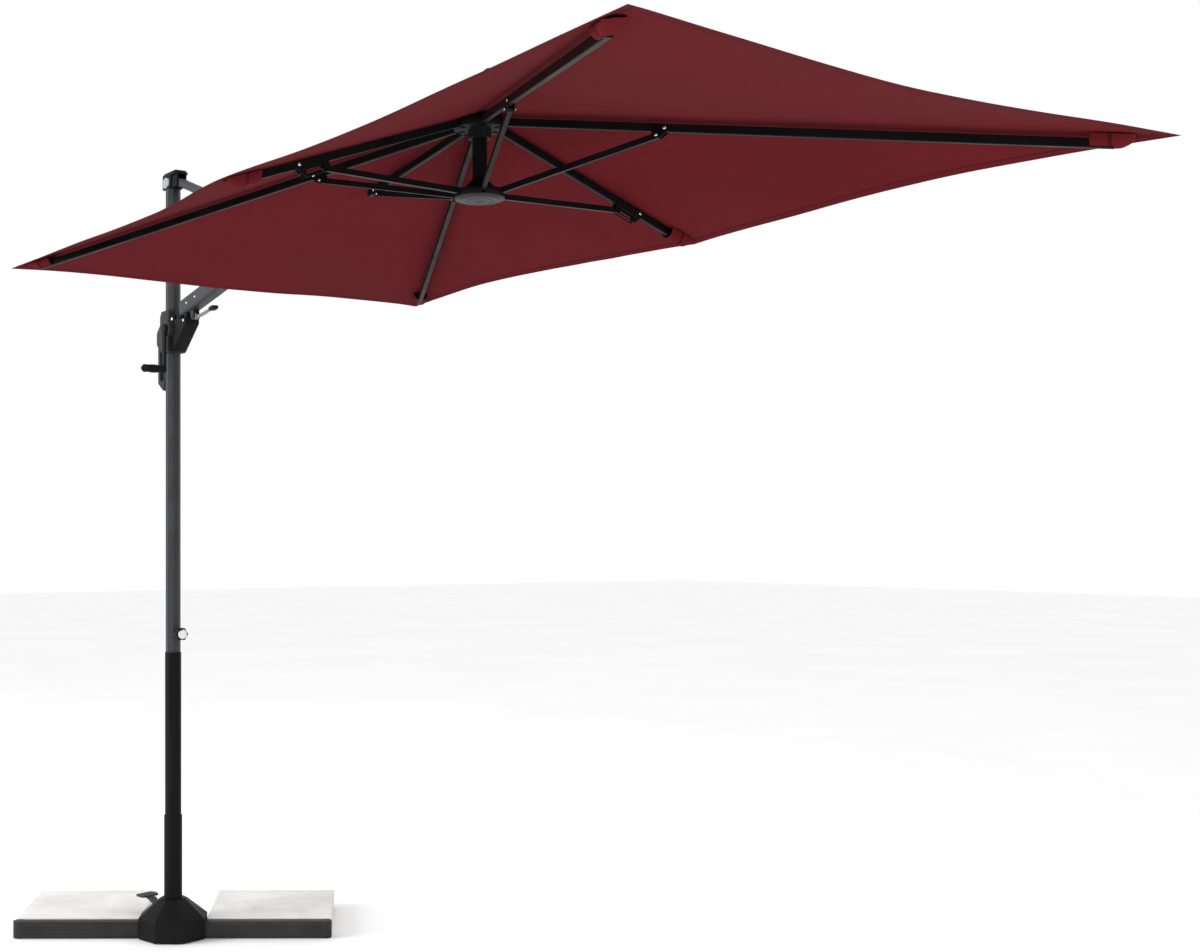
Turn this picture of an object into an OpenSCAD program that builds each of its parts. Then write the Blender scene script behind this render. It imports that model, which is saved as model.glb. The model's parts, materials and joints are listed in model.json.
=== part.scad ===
// Cantilever garden parasol: swivelling side mast, tilting boom with a sliding root,
// rectangular crank-up canopy hung under the boom, and a slab-weighted base.
// X runs along the boom, Z is up, and the origin is on the mast axis at floor level.

/* [Canopy] */
// Distance between rib tips along the boom
span_long = 2376; // [1800:10:2900]
// Distance between rib tips across the boom
span_short = 1244; // [1000:10:1600]
// How far the fabric reaches past the rib tips, as a share of the span
fabric_reach = 0.08; // [0.02:0.01:0.12]
// Fabric thickness
fabric_t = 1; // [0.6:0.2:3]
// Slope of the corner ribs below horizontal, in degrees
corner_slope = 9.3; // [7:0.1:12]

/* [Ribs and struts] */
// Depth of a rib
rib_h = 18; // [14:0.5:24]
// Width of a rib
rib_w = 12; // [9:0.5:14]
// Wall of the rib tube
rib_wall = 1.2; // [0.8:0.1:2]
// Distance from a crown pin to the strut pin, and length of a strut
link_len = 392; // [320:2:450]
// Depth of a strut
strut_h = 13; // [8:0.5:14]
// Width of a strut
strut_w = 10; // [6:0.5:11]
// Radius of the circle of hinge pins on crown and runner
pin_circle_r = 48; // [46:0.5:56]
// Diameter of the rib and strut pins
pin_d = 5; // [4:0.5:6]
// Height of the crown pins below the boom axis
crown_drop = 88; // [80:1:110]

/* [Boom] */
// Gap between the mast axis and the near rib tips
mast_gap = 492; // [440:5:600]
// Slope of the boom above horizontal, in degrees
boom_slope = 11.4; // [9:0.1:14]
// Diameter of the boom tube
boom_d = 38; // [30:1:46]
// Wall of the boom tube
boom_wall = 2.5; // [1.5:0.5:4]
// Side clearance between the boom tube and the square carrier tube
carrier_gap = 1; // [0.5:0.5:3]
// Least height of the carrier tube over the canopy
carrier_clear = 8; // [4:1:12]
// Wall of the carrier tube
carrier_wall = 3; // [2:0.5:5]
// Length of the stay, equal to the slider link
stay_len = 620; // [560:5:700]
// Diameter of the stay tube
stay_d = 28; // [20:1:34]
// Diameter of the pins at both ends of the stay
stay_pin_d = 8; // [6:0.5:10]
// Diameter of the boom root pin
root_pin_d = 10; // [8:0.5:12]

/* [Mast] */
// Height of the slider pivot
slider_pivot_z = 1975; // [1640:5:2380]
// Height of the stay pivot above the slider pivot
pivot_rise = 440; // [400:5:480]
// Width of the octagonal upper mast across flats
mast_af = 44; // [36:1:54]
// Wall of the upper mast
mast_wall = 2.5; // [1.5:0.5:4]
// Wall of the round lower tube
lower_wall = 2; // [1.5:0.5:4]
// Wall of the socket tube
socket_wall = 3; // [2:0.5:5]
// Height of the joint between socket tube and lower tube
socket_top_z = 390; // [250:5:600]
// Height of the joint between lower tube and upper mast
lower_top_z = 913; // [700:5:1100]
// Height of the clamp knob
knob_z = 974; // [940:1:1150]
// Diameter of the clamp knob
knob_d = 44; // [30:1:60]

/* [Slider] */
// Height of the slider housing
slider_h = 136; // [110:2:180]
// Wall between the slider housing and its liners
slider_wall = 7; // [5:0.5:10]
// Thickness of the plastic liners
liner_t = 3.6; // [2.5:0.1:5]
// Length of the crank arm
crank_len = 129; // [90:1:150]
// Length of the crank grip
crank_grip_len = 68; // [50:1:96]

/* [Base] */
// Length over both front bars
bar_span = 1020; // [900:10:1200]
// Height of the front bars
bar_h = 52; // [40:1:70]
// Depth of the front bars
bar_depth = 40; // [30:1:60]
// Side of one paving slab
slab_w = 400; // [350:5:500]
// Thickness of one paving slab
slab_t = 48; // [38:1:60]
// Width of the octagonal housing across flats
housing_af = 210; // [190:2:260]
// Height of the housing wall
housing_wall_z = 68; // [60:1:90]
// Height of the housing top
housing_top_z = 123; // [115:1:150]
// Turn of the base against the boom, in degrees
base_turn = 58; // [-180:1:180]

/* [Fits] */
// Radial clearance of a running pin in its eye
running = 0.05; // [0.02:0.01:0.1]
// Side clearance between flat faces that move past each other
side_gap = 0.3; // [0.2:0.05:0.6]
// Gap between the fabric and what it lies over
fabric_gap = 1.5; // [0.8:0.1:4]

/* [Hidden] */
$fn = 48;
cut = 1;                                        // how far a cutting tool runs past a face

// Canopy plan: the ridges run to the corners, the long faces carry the middle ribs
half_long = span_long / 2;
half_short = span_short / 2;
half_diag = sqrt(half_long * half_long + half_short * half_short);
corner_az = atan2(half_short, half_long);
canopy_fall = half_diag * tan(corner_slope);    // apex to rib tip, vertically
long_face_k = canopy_fall / half_short;         // fall per millimetre across the boom
short_face_k = canopy_fall / half_long;         // fall per millimetre along the boom
mid_slope = atan(long_face_k);
fabric_x = half_long * (1 + fabric_reach);
fabric_y = half_short * (1 + fabric_reach);

// Azimuth and slope of each rib, counted about the canopy post
az_far_left = corner_az;
az_far_right = -corner_az;
az_mid_left = 90;
az_mid_right = -90;
az_near_left = 180 - corner_az;
az_near_right = 180 + corner_az;
az_short = 180;

// Both link pivots stand clear of the slider's front wall
liner_af = mast_af + 2 * (liner_t + side_gap);
slider_x = liner_af / 2 + slider_wall + 1;
root_boss_r = 12;
root_gap = 2.1;
link_x = slider_x + root_boss_r + root_gap;

// Boom frame: its own X runs along the boom axis
boom_offset = 19.3;                             // boom axis above the slider pivot, square to it
boom_origin_z = slider_pivot_z + boom_offset / cos(boom_slope) - link_x * tan(boom_slope);
hub_x = mast_gap + half_long;
hub_u = hub_x / cos(boom_slope);
root_u = link_x * cos(boom_slope) + (slider_pivot_z - boom_origin_z) * sin(boom_slope);
head_pivot_z = slider_pivot_z + pivot_rise;
link_angle = asin(pivot_rise / 2 / stay_len);   // stay below and slider link above horizontal
link_reach = stay_len * cos(link_angle);
saddle_x = link_x + link_reach;
saddle_z = slider_pivot_z + pivot_rise / 2;
saddle_u = saddle_x * cos(boom_slope) + (saddle_z - boom_origin_z) * sin(boom_slope);
saddle_v = -saddle_x * sin(boom_slope) + (saddle_z - boom_origin_z) * cos(boom_slope);

// Carrier tube round the boom, and the saddle's sleeve round that
carrier_in_w = boom_d + 2 * carrier_gap;
carrier_in_h = carrier_in_w + 4;
carrier_w = carrier_in_w + 2 * carrier_wall;
carrier_h = carrier_in_h + 2 * carrier_wall;
saddle_wall = 3;
saddle_half = 34;

// Canopy hub heights: the post is longer where the canopy would meet the carrier
apex_rise = pin_circle_r * long_face_k + rib_h / 2 / cos(mid_slope) + fabric_gap;
function hang_at(x) = (hub_x - x) * (tan(boom_slope) - short_face_k) + apex_rise + fabric_t
    + (carrier_h / 2 + saddle_wall) / cos(boom_slope) + carrier_clear;
crown_hang = max(crown_drop, hang_at(hub_x - fabric_x), hang_at(saddle_x + saddle_half));
crown_z = boom_origin_z + hub_x * tan(boom_slope) - crown_hang;
eye_r = strut_h / 2;                            // half depth of a strut eye
strut_drop = rib_h / 2 + eye_r + 1;             // strut pin below the rib's middle line
mid_drop = strut_drop + 4;                      // the slotted brackets hang a little lower
link_slope = corner_slope + asin(strut_drop / link_len);
runner_z = crown_z - 2 * link_len * sin(link_slope);
bracket_u = sqrt(link_len * link_len - strut_drop * strut_drop);
mid_bracket_r = pin_circle_r + link_len * cos(link_slope) - 16;
mid_bracket_u = (mid_bracket_r - pin_circle_r + mid_drop * sin(mid_slope)) / cos(mid_slope);
mid_pin_z = crown_z - mid_bracket_u * sin(mid_slope) - mid_drop * cos(mid_slope);
mid_strut_slope = atan2(runner_z - mid_pin_z, mid_bracket_r - pin_circle_r);
mid_strut_len = (mid_bracket_r - pin_circle_r) / cos(mid_strut_slope);
corner_len = (half_diag - pin_circle_r) / cos(corner_slope);
mid_len = (half_short - pin_circle_r) / cos(mid_slope);
apex_z = crown_z + apex_rise;

// Rib hardware
rib_eye_r = 7;
rib_start = 15;                                 // the tube begins past the crown flange
slot_side = 0.3;                                // side clearance of ribs and struts in their slots
plate_t = 2;                                    // bracket plate
plate_back = 12;
plate_front = 26;
slot_travel = 47;                               // travel of the middle struts' outer pins
slot_half = 3.6;                                // half height that this travel needs, past the pin
rivet_r = 4;
tip_len = 22;
short_len = bracket_u + plate_front + tip_len + 3;

// Crown and runner
crown_r = pin_circle_r + 12;
crown_low = 11;
crown_high = 8;
crown_dome = 6;
stem_r = 18;
post_r = 17;
post_gap = 1;
socket_wall_t = 9;
socket_low = 33;
slot_r = pin_circle_r - 11;
runner_r = pin_circle_r + 10;
runner_low = 9;
runner_high = 7;
runner_cone_z = 34;
disc_t = 9;
post_overlap = 14;
hub_pin_l = 19;

// Boom hardware
carrier_r = 11;
carrier_start = root_u + 50;
carrier_past_saddle = 38;
carrier_end = saddle_u + carrier_past_saddle;
bush_l = 30;
tip_wall = 5;
tip_half = 48;
fork_t = 6;                                     // cheeks of the saddle and the mast head
tongue_w = 22;                                  // stay tongue, square to the pins
tongue_r = 12;
tongue_l = 32;
hinge_w = 36;

// Lever under the boom
lever_u = root_u + 113;
lever_v = -carrier_h / 2 - 21;
lever_len = 146;
lever_dip = 5.5;
lever_pin_d = 8;
lever_eye_w = 14;
lug_t = 4;
lug_r = 9;

// Mast hardware
mast_inner_af = mast_af - 2 * mast_wall;
mast_corner_r = mast_af / 2 / cos(22.5);
lower_in_r = mast_corner_r + 0.2;
lower_r = lower_in_r + lower_wall;
socket_in_r = lower_r + running;
socket_r = socket_in_r + socket_wall;
insert = 133;                                   // how far one tube stands inside the next
ledge_t = 6;
head_back = 34;
head_front = 30;
head_low = 16;
head_high = 22;
cap_t = 13;
head_fork_x = link_x + 16;

// Slider hardware
slider_y = liner_af / 2 + slider_wall;
slider_top = slider_pivot_z + 33;
slider_low = slider_top - slider_h;
liner_l = 22;
cheek_t = 5;
cheek_in = hinge_w / 2 + 1;
seat_x = 134;
seat_l = 15;
seat_gap = 0.5;
crank_x = 36;
crank_z = slider_pivot_z - 30;
pod_r = 25;
pod_wall = 4;
drum_r = 20;
drum_w = 8;
pod_sink = 5;                                   // how far the drum cavity reaches into the shell
pod_y = slider_y - pod_sink + drum_w + 2 + pod_wall;
shaft_d = 12;
arm_t = 8;
spindle_d = 8;
grip_front = mast_af / 2 + 4;                   // the grip's front edge, behind the mast
grip_depth = 62;
grip_w = 30;
grip_low = slider_pivot_z - 221;
grip_high = slider_pivot_z - 15;
arm_y = pod_y + 2 + arm_t / 2;

// Base hardware
wall = 3;
foot_t = 4;
plate_z = 5;
frame_top = foot_t + plate_z;
bar_front = 33;
slab_gap = 2;
slab_front = bar_depth - bar_front;
pillar_wall = 7;
pillar_in_r = socket_r + 4;
pillar_r = pillar_in_r + pillar_wall;
pillar_top = 52;
washer_t = 3;
mast_foot_z = frame_top + washer_t + side_gap;
ring_z = 60;
ring_r = 50;
pedal_az = 135;
pedal_r = 62;
pedal_z = 84;
pedal_pin_d = 8;
pedal_arm_w = 24;
pedal_plate_r = 137;
rail_w = 40;
cross_rail_y = housing_af / 2 - 45;
housing_top_half = socket_r + 13;
housing_low = 2;
bush_flange = 3;
bar_notch = 1;
bar_low = 2;
bar_wall = 4;
bar_in_x = housing_af / 2 - 4;
bar_round_x = bar_span / 2 - bar_depth / 2;

// Fabric panels
opening_r = 70;                                 // the fabric begins here, round the crown
seam = 0.5;                                     // half gap between neighbouring panels

module octagon(af) { rotate(22.5) circle(r = af / 2 / cos(22.5), $fn = 8); }

module round_rect(w, h, r) {
    square([w - 2 * r, h], center = true);
    square([w, h - 2 * r], center = true);
    for (x = [-1, 1], y = [-1, 1])
        translate([x * (w / 2 - r), y * (h / 2 - r)]) circle(r = r, $fn = 32);
}

// A bar along X whose section spans w across and h up
module bar_x(l, w, h, r) {
    rotate([90, 0, 90]) linear_extrude(l) round_rect(w, h, r);
}

// A cylinder along Y, centred
module pin_y(d, l) { rotate([90, 0, 0]) cylinder(d = d, h = l, center = true); }

// A cylinder along X that starts at the origin
module rod_x(d, l) { rotate([0, 90, 0]) cylinder(d = d, h = l); }

// A flat outline in the XZ plane, extruded along Y
module side_plate(t) { rotate([90, 0, 0]) linear_extrude(t, center = true) children(); }

module boom_frame() { translate([0, 0, boom_origin_z]) rotate([0, -boom_slope, 0]) children(); }
module base_frame_turn() { rotate([0, 0, base_turn]) children(); }
module hub(z) { translate([hub_x, 0, z]) children(); }
module spoke(az, z) { hub(z) rotate([0, 0, az]) translate([pin_circle_r, 0, 0]) children(); }
module rib_frame(az, slope) { spoke(az, crown_z) rotate([0, slope, 0]) children(); }
module strut_frame(az, slope) { spoke(az, runner_z) rotate([0, slope, 0]) children(); }

// ---- base -------------------------------------------------------------------------------

module housing_form(inset) {
    low = housing_af / 2 - inset;
    high = housing_top_half - inset;
    linear_extrude(housing_wall_z) octagon(2 * low);
    translate([0, 0, housing_wall_z]) rotate(22.5)
        cylinder(r1 = low / cos(22.5), r2 = high / cos(22.5), h = housing_top_z - housing_wall_z - inset,
                 $fn = 8);
}

module base_housing() {
    color([0.12, 0.12, 0.12]) base_frame_turn() difference() {
        housing_form(0);
        translate([0, 0, -cut]) linear_extrude(cut + housing_low) square(2 * housing_af, center = true);
        translate([0, 0, -cut]) housing_form(wall);
        translate([0, 0, housing_wall_z]) cylinder(r = socket_r + 7 + running, h = housing_top_z);
        for (side = [-1, 1])
            translate([side * housing_af / 2, bar_depth / 2 - bar_front, 0])
                cube([4 * wall + 60, bar_depth + 2 * bar_notch, 2 * (bar_h + bar_notch + wall)],
                     center = true);
        rotate(pedal_az) translate([housing_af / 2 - 36, -pedal_arm_w / 2 - 3, housing_wall_z - 8])
            cube([60, pedal_arm_w + 6, housing_top_z]);
        // openings for the cross rail
        translate([-housing_af, cross_rail_y - 1, -cut])
            cube([2 * housing_af, rail_w + 2, frame_top + 1 + cut]);
    }
}

module base_frame() {
    color([0.2, 0.2, 0.2]) base_frame_turn() {
        difference() {
            union() {
                translate([0, 0, foot_t]) linear_extrude(plate_z) octagon(housing_af - 2 * wall - 4);
                translate([0, 0, foot_t]) cylinder(r = pillar_r, h = pillar_top - foot_t);
                for (side = [-1, 1]) {
                    // rails run back under the slabs and end in an upstand behind them
                    translate([side * (housing_af / 2 + slab_w / 2) - rail_w / 2, -bar_front + bar_depth, foot_t])
                        cube([rail_w, slab_w + 6, plate_z]);
                    translate([side * (housing_af / 2 + slab_w / 2) - rail_w / 2,
                               slab_front + slab_w + slab_gap, foot_t])
                        cube([rail_w, 4, plate_z + 24]);
                    rotate(pedal_az) translate([pedal_r - 9, side * (pedal_arm_w / 2 + 3.5) - 2.5, foot_t])
                        cube([18, 5, pedal_z + 6 - foot_t]);
                }
                // cross rail ties both sides to the plate under the housing
                translate([-housing_af / 2 - slab_w / 2, cross_rail_y, foot_t])
                    cube([housing_af + slab_w, rail_w, plate_z]);
            }
            translate([0, 0, frame_top]) cylinder(r = pillar_in_r, h = pillar_top);
        }
        rotate(pedal_az) translate([pedal_r, 0, pedal_z]) pin_y(pedal_pin_d, pedal_arm_w + 12);
    }
}

module front_bars() {
    color([0.23, 0.23, 0.23]) base_frame_turn()
        for (side = [-1, 1]) mirror([side < 0 ? 1 : 0, 0, 0])
            translate([0, bar_depth / 2 - bar_front, 0]) difference() {
                union() {
                    translate([bar_in_x, 0, bar_h / 2 + bar_low])
                        bar_x(bar_round_x - bar_in_x, bar_depth, bar_h, 5);
                    translate([bar_round_x, 0, bar_low]) cylinder(d = bar_depth, h = bar_h);
                }
                translate([bar_in_x + bar_wall, 0, bar_h / 2 + bar_low])
                    bar_x(bar_round_x - bar_in_x - bar_wall, bar_depth - 2 * bar_wall, bar_h - 2 * bar_wall, 2);
                // shallow grooves along the front and back faces
                for (z = [0.3, 0.5, 0.7], face = [-1, 1])
                    translate([housing_af / 2 + 14, face * bar_depth / 2 - 0.8, bar_low + bar_h * z - 1])
                        cube([bar_round_x - housing_af / 2 - 28, 1.6, 2]);
            }
}

module slab(side) {
    base_frame_turn()
        translate([side * (housing_af / 2 + slab_gap + slab_w / 2), slab_front + slab_gap + slab_w / 2 - 1,
                   frame_top])
            linear_extrude(slab_t) round_rect(slab_w, slab_w - slab_gap, 4);
}
module slab_left() { color([0.9, 0.9, 0.88]) slab(-1); }
module slab_right() { color([0.9, 0.9, 0.88]) slab(1); }

module feet() {
    foot_d = 34;
    color([0.08, 0.08, 0.08]) base_frame_turn()
        for (side = [-1, 1]) {
            translate([side * (housing_af / 2 + slab_w / 2), slab_front + slab_w - 20, 0])
                cylinder(d = foot_d, h = foot_t);
            translate([side * (housing_af / 2 + slab_w / 2), slab_front + 30, 0])
                cylinder(d = foot_d, h = foot_t);
            translate([side * 56, -62, 0]) cylinder(d = foot_d, h = foot_t);
            translate([side * 56, 62, 0]) cylinder(d = foot_d, h = foot_t);
        }
    color([0.08, 0.08, 0.08]) cylinder(d = 2 * foot_d, h = foot_t);
}

module pedal() {
    arm_end = pedal_plate_r - pedal_r;
    color([0.28, 0.28, 0.28]) base_frame_turn() rotate(pedal_az) translate([pedal_r, 0, pedal_z])
        difference() {
            union() {
                side_plate(pedal_arm_w) polygon([
                    [-6, -8], [8, -6], [26, 4], [arm_end - 14, 20], [arm_end + 14, 22],
                    [arm_end + 14, 27], [arm_end - 16, 28], [22, 14], [6, 8], [-6, 8]]);
                translate([arm_end, 0, 25]) linear_extrude(6) round_rect(42, 66, 9);
                for (i = [-1.5:1:1.5]) translate([arm_end + i * 9, 0, 31]) cube([3, 54, 1.6], center = true);
            }
            pin_y(pedal_pin_d + 2 * running, pedal_arm_w + 2 * cut);
        }
}

module swivel_bushes() {
    color([0.1, 0.1, 0.1]) {
        translate([0, 0, frame_top]) cylinder(r = pillar_in_r - running, h = washer_t);
        difference() {
            translate([0, 0, frame_top + washer_t])
                cylinder(r = pillar_in_r - running, h = pillar_top - frame_top - washer_t);
            translate([0, 0, frame_top]) cylinder(r = socket_r + running, h = pillar_top);
        }
        difference() {
            union() {
                translate([0, 0, housing_top_z - 16]) cylinder(r = socket_r + 7, h = 16);
                translate([0, 0, housing_top_z]) cylinder(r = socket_r + 10, h = bush_flange);
            }
            translate([0, 0, housing_top_z - 16 - cut])
                cylinder(r = socket_r + running, h = 16 + bush_flange + 2 * cut);
        }
    }
}

// ---- mast -------------------------------------------------------------------------------

module ringed_tube(z0, z1, r, wall_t, ledge_z) {
    difference() {
        translate([0, 0, z0]) cylinder(r = r, h = z1 - z0);
        translate([0, 0, z0 - cut]) cylinder(r = r - wall_t, h = ledge_z - ledge_t - z0 + cut);
        translate([0, 0, ledge_z]) cylinder(r = r - wall_t, h = z1 - ledge_z + cut);
        translate([0, 0, z0]) cylinder(r = r - wall_t - 5, h = z1 - z0);
    }
}

module socket_tube() {
    color([0.11, 0.11, 0.11])
        ringed_tube(mast_foot_z, socket_top_z, socket_r, socket_wall, socket_top_z - insert);
}
module lower_tube() {
    color([0.11, 0.11, 0.11])
        ringed_tube(socket_top_z - insert, lower_top_z, lower_r, lower_wall, lower_top_z - insert);
}
module upper_mast() {
    color([0.27, 0.27, 0.28]) difference() {
        translate([0, 0, lower_top_z - insert])
            linear_extrude(head_pivot_z + head_high - 4 - lower_top_z + insert) difference() {
                octagon(mast_af);
                octagon(mast_inner_af);
            }
        translate([mast_inner_af / 2 - cut, 0, knob_z]) rod_x(8 + 2 * running, mast_wall + 2 * cut);
    }
}
module lock_ring() {
    teeth = 24;
    color([0.55, 0.55, 0.56]) translate([0, 0, ring_z]) difference() {
        cylinder(r = ring_r, h = 6);
        translate([0, 0, -cut]) cylinder(r = socket_r + running, h = 6 + 2 * cut);
        for (i = [0:teeth - 1]) rotate(i * 360 / teeth)
            translate([ring_r, 0, 3]) cube([8, 5, 6 + 2 * cut], center = true);
    }
}
module mast_head() {
    low = head_pivot_z - head_low;
    high = head_pivot_z + head_high;
    color([0.2, 0.2, 0.2]) {
        difference() {
            translate([(head_front - head_back) / 2, 0, low])
                linear_extrude(high - low) round_rect(head_back + head_front, mast_af + 4, 8);
            translate([0, 0, low - cut]) linear_extrude(high - low - 4 + cut) octagon(mast_af);
        }
        for (side = [-1, 1])
            translate([head_front - 4, side * (tongue_w / 2 + side_gap + fork_t / 2), 0])
                side_plate(fork_t) translate([0, low])
                    square([head_fork_x - head_front + 4, high - low]);
        translate([link_x, 0, head_pivot_z]) pin_y(stay_pin_d, tongue_w + 2 * (side_gap + fork_t) + 4);
    }
}
module mast_cap() {
    length = head_fork_x + head_back;
    color([0.16, 0.16, 0.16]) translate([head_fork_x - length / 2, 0, head_pivot_z + head_high]) {
        linear_extrude(cap_t - 5) round_rect(length, mast_af + 5, 9);
        translate([0, 0, cap_t - 5]) linear_extrude(5) round_rect(length - 8, mast_af - 2, 8);
    }
}
module clamp_knob() {
    lobes = 6;
    head_l = 26;
    color([0.1, 0.1, 0.1]) translate([mast_inner_af / 2 - 2, 0, knob_z]) {
        rod_x(8, mast_wall + 8);
        translate([mast_wall + 2 + side_gap, 0, 0]) {
            rod_x(18, 22);
            translate([22, 0, 0]) difference() {
                rod_x(knob_d, head_l);
                for (i = [0:lobes - 1]) rotate([i * 360 / lobes, 0, 0])
                    translate([-cut, 0, knob_d / 2 + 6]) rod_x(17, head_l + 2 * cut);
            }
            translate([22 + head_l, 0, 0]) rod_x(22, 3);
        }
    }
}

// ---- stay and boom ----------------------------------------------------------------------

module eye_plate(r, bore, w) {
    difference() {
        pin_y(2 * r, w);
        pin_y(bore, w + 2 * cut);
    }
}

module stay() {
    color([0.3, 0.3, 0.31]) translate([link_x, 0, head_pivot_z]) rotate([0, link_angle, 0]) {
        difference() {
            translate([tongue_l, 0, 0]) rod_x(stay_d, stay_len - 2 * tongue_l);
            translate([tongue_l + 6, 0, 0]) rod_x(stay_d - 4, stay_len - 2 * tongue_l - 12);
        }
        for (x = [0, 1]) translate([x * stay_len, 0, 0]) mirror([x, 0, 0]) difference() {
            union() {
                pin_y(2 * tongue_r, tongue_w);
                translate([0, -tongue_w / 2, -tongue_r]) cube([tongue_l, tongue_w, 2 * tongue_r]);
            }
            pin_y(stay_pin_d + 2 * running, tongue_w + 2 * cut);
        }
    }
}
module carrier_tube() {
    lug_y = lever_eye_w / 2 + side_gap + lug_t / 2;
    color([0.27, 0.27, 0.28]) boom_frame() {
        difference() {
            translate([carrier_start, 0, 0])
                bar_x(carrier_end - carrier_start, carrier_w, carrier_h, carrier_r);
            translate([carrier_start - cut, 0, 0])
                bar_x(carrier_end - carrier_start + 2 * cut, carrier_in_w, carrier_in_h,
                      carrier_r - carrier_wall);
        }
        // welded lugs and pin for the clamp lever
        translate([lever_u, 0, lever_v]) {
            for (side = [-1, 1]) translate([0, side * lug_y, 0]) {
                pin_y(2 * lug_r, lug_t);
                side_plate(lug_t) translate([-lug_r, 0])
                    square([2 * lug_r, -lever_v - carrier_h / 2 + 1]);
            }
            pin_y(lever_pin_d, 2 * lug_y + lug_t + 4);
        }
    }
}
module root_hinge() {
    half = carrier_h / 2;
    color([0.2, 0.2, 0.2]) boom_frame() difference() {
        union() {
            translate([root_u, 0, -boom_offset]) pin_y(2 * root_boss_r, hinge_w);
            side_plate(hinge_w) polygon([
                [root_u, -boom_offset - root_boss_r], [carrier_start, -half],
                [carrier_start, half - 8], [root_u + 28, half - 16],
                [root_u - 5, -boom_offset + root_boss_r - 1]]);
        }
        translate([root_u, 0, -boom_offset]) pin_y(root_pin_d + 2 * running, hinge_w + 2 * cut);
    }
}
module saddle() {
    cheek_y = tongue_w / 2 + side_gap + fork_t / 2;
    sleeve_w = carrier_w + 2 * saddle_wall;
    sleeve_h = carrier_h + 2 * saddle_wall;
    color([0.2, 0.2, 0.2]) boom_frame() translate([saddle_u, 0, 0]) {
        difference() {
            translate([-saddle_half, 0, 0]) bar_x(2 * saddle_half, sleeve_w, sleeve_h, carrier_r + saddle_wall);
            translate([-saddle_half - cut, 0, 0])
                bar_x(2 * (saddle_half + cut), carrier_w, carrier_h, carrier_r);
        }
        for (side = [-1, 1]) translate([0, side * cheek_y, 0]) {
            side_plate(fork_t) polygon([
                [-saddle_half + 4, carrier_h / 2 + 1], [saddle_half - 4, carrier_h / 2 + 1],
                [tongue_r, saddle_v], [-tongue_r, saddle_v]]);
            translate([0, 0, saddle_v]) pin_y(2 * tongue_r, fork_t);
        }
        translate([0, 0, saddle_v]) pin_y(stay_pin_d, 2 * (cheek_y + fork_t / 2) + 4);
    }
}
module boom_bushes() {
    color([0.1, 0.1, 0.1]) boom_frame()
        for (u = [carrier_start, carrier_end - bush_l]) translate([u, 0, 0]) difference() {
            bar_x(bush_l, carrier_in_w, carrier_in_h, carrier_r - carrier_wall);
            translate([-cut, 0, 0]) rod_x(boom_d + 2 * running, bush_l + 2 * cut);
        }
}
module clamp_lever() {
    blade_w = 20;
    color([0.72, 0.72, 0.74]) boom_frame() translate([lever_u, 0, lever_v]) rotate([0, lever_dip, 0])
        difference() {
            union() {
                pin_y(2 * lug_r - 1, lever_eye_w);
                translate([0, -lever_eye_w / 2, -4]) cube([16, lever_eye_w, 8]);
                translate([14, 0, 0]) bar_x(lever_len - 48, blade_w, 9, 3);
                translate([lever_len - 36, 0, 0]) bar_x(36, blade_w + 6, 15, 5);
            }
            pin_y(lever_pin_d + 2 * running, lever_eye_w + 2 * cut);
        }
}
module boom_tube() {
    color([0.27, 0.27, 0.28]) boom_frame() difference() {
        translate([carrier_start + 2, 0, 0]) rod_x(boom_d, hub_u + 30 - carrier_start - 2);
        translate([carrier_start + 6, 0, 0]) rod_x(boom_d - 2 * boom_wall, hub_u + 22 - carrier_start);
    }
}
module boom_tip() {
    outer = boom_d + 2 * tip_wall;
    color([0.13, 0.13, 0.13]) difference() {
        union() {
            boom_frame() translate([hub_u - tip_half, 0, 0]) rod_x(outer, 2 * tip_half);
            boom_frame() translate([hub_u + tip_half, 0, 0]) rod_x(outer - 8, 6);
            hub(crown_z + crown_high + crown_dome) cylinder(r = stem_r, h = crown_hang - crown_high - crown_dome);
        }
        boom_frame() translate([hub_u - tip_half - cut, 0, 0]) rod_x(boom_d, tip_half + 30 + cut);
    }
}
module radial_slots(width, from_r, to_r, low, high) {
    for (az = [az_far_left, az_far_right, az_mid_left, az_mid_right, az_near_left, az_near_right, az_short])
        rotate([0, 0, az]) translate([from_r, -width / 2, -low - cut])
            cube([to_r - from_r + cut, width, low + high + 2 * cut]);
}
module hub_pins(l) {
    for (az = [az_far_left, az_far_right, az_mid_left, az_mid_right, az_near_left, az_near_right, az_short])
        rotate([0, 0, az]) translate([pin_circle_r, 0, 0]) pin_y(pin_d, l);
}
module crown() {
    color([0.13, 0.13, 0.13]) hub(crown_z) {
        difference() {
            rotate_extrude() polygon([
                [0, -crown_low], [crown_r, -crown_low], [crown_r, crown_high - 3], [crown_r - 3, crown_high],
                [crown_r - 26, crown_high], [stem_r + 4, crown_high + crown_dome],
                [0, crown_high + crown_dome]]);
            radial_slots(rib_w + 2 * slot_side, slot_r, crown_r, crown_low, crown_high);
            translate([0, 0, -crown_low - cut]) cylinder(r = post_r + post_gap, h = crown_low + cut - 3);
        }
        difference() {
            translate([0, 0, -socket_low]) cylinder(r = post_r + post_gap + socket_wall_t, h = socket_low - crown_low);
            translate([0, 0, -socket_low - cut]) cylinder(r = post_r + post_gap, h = socket_low + cut);
        }
        hub_pins(hub_pin_l);
    }
}

// ---- slider and crank -------------------------------------------------------------------

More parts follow.
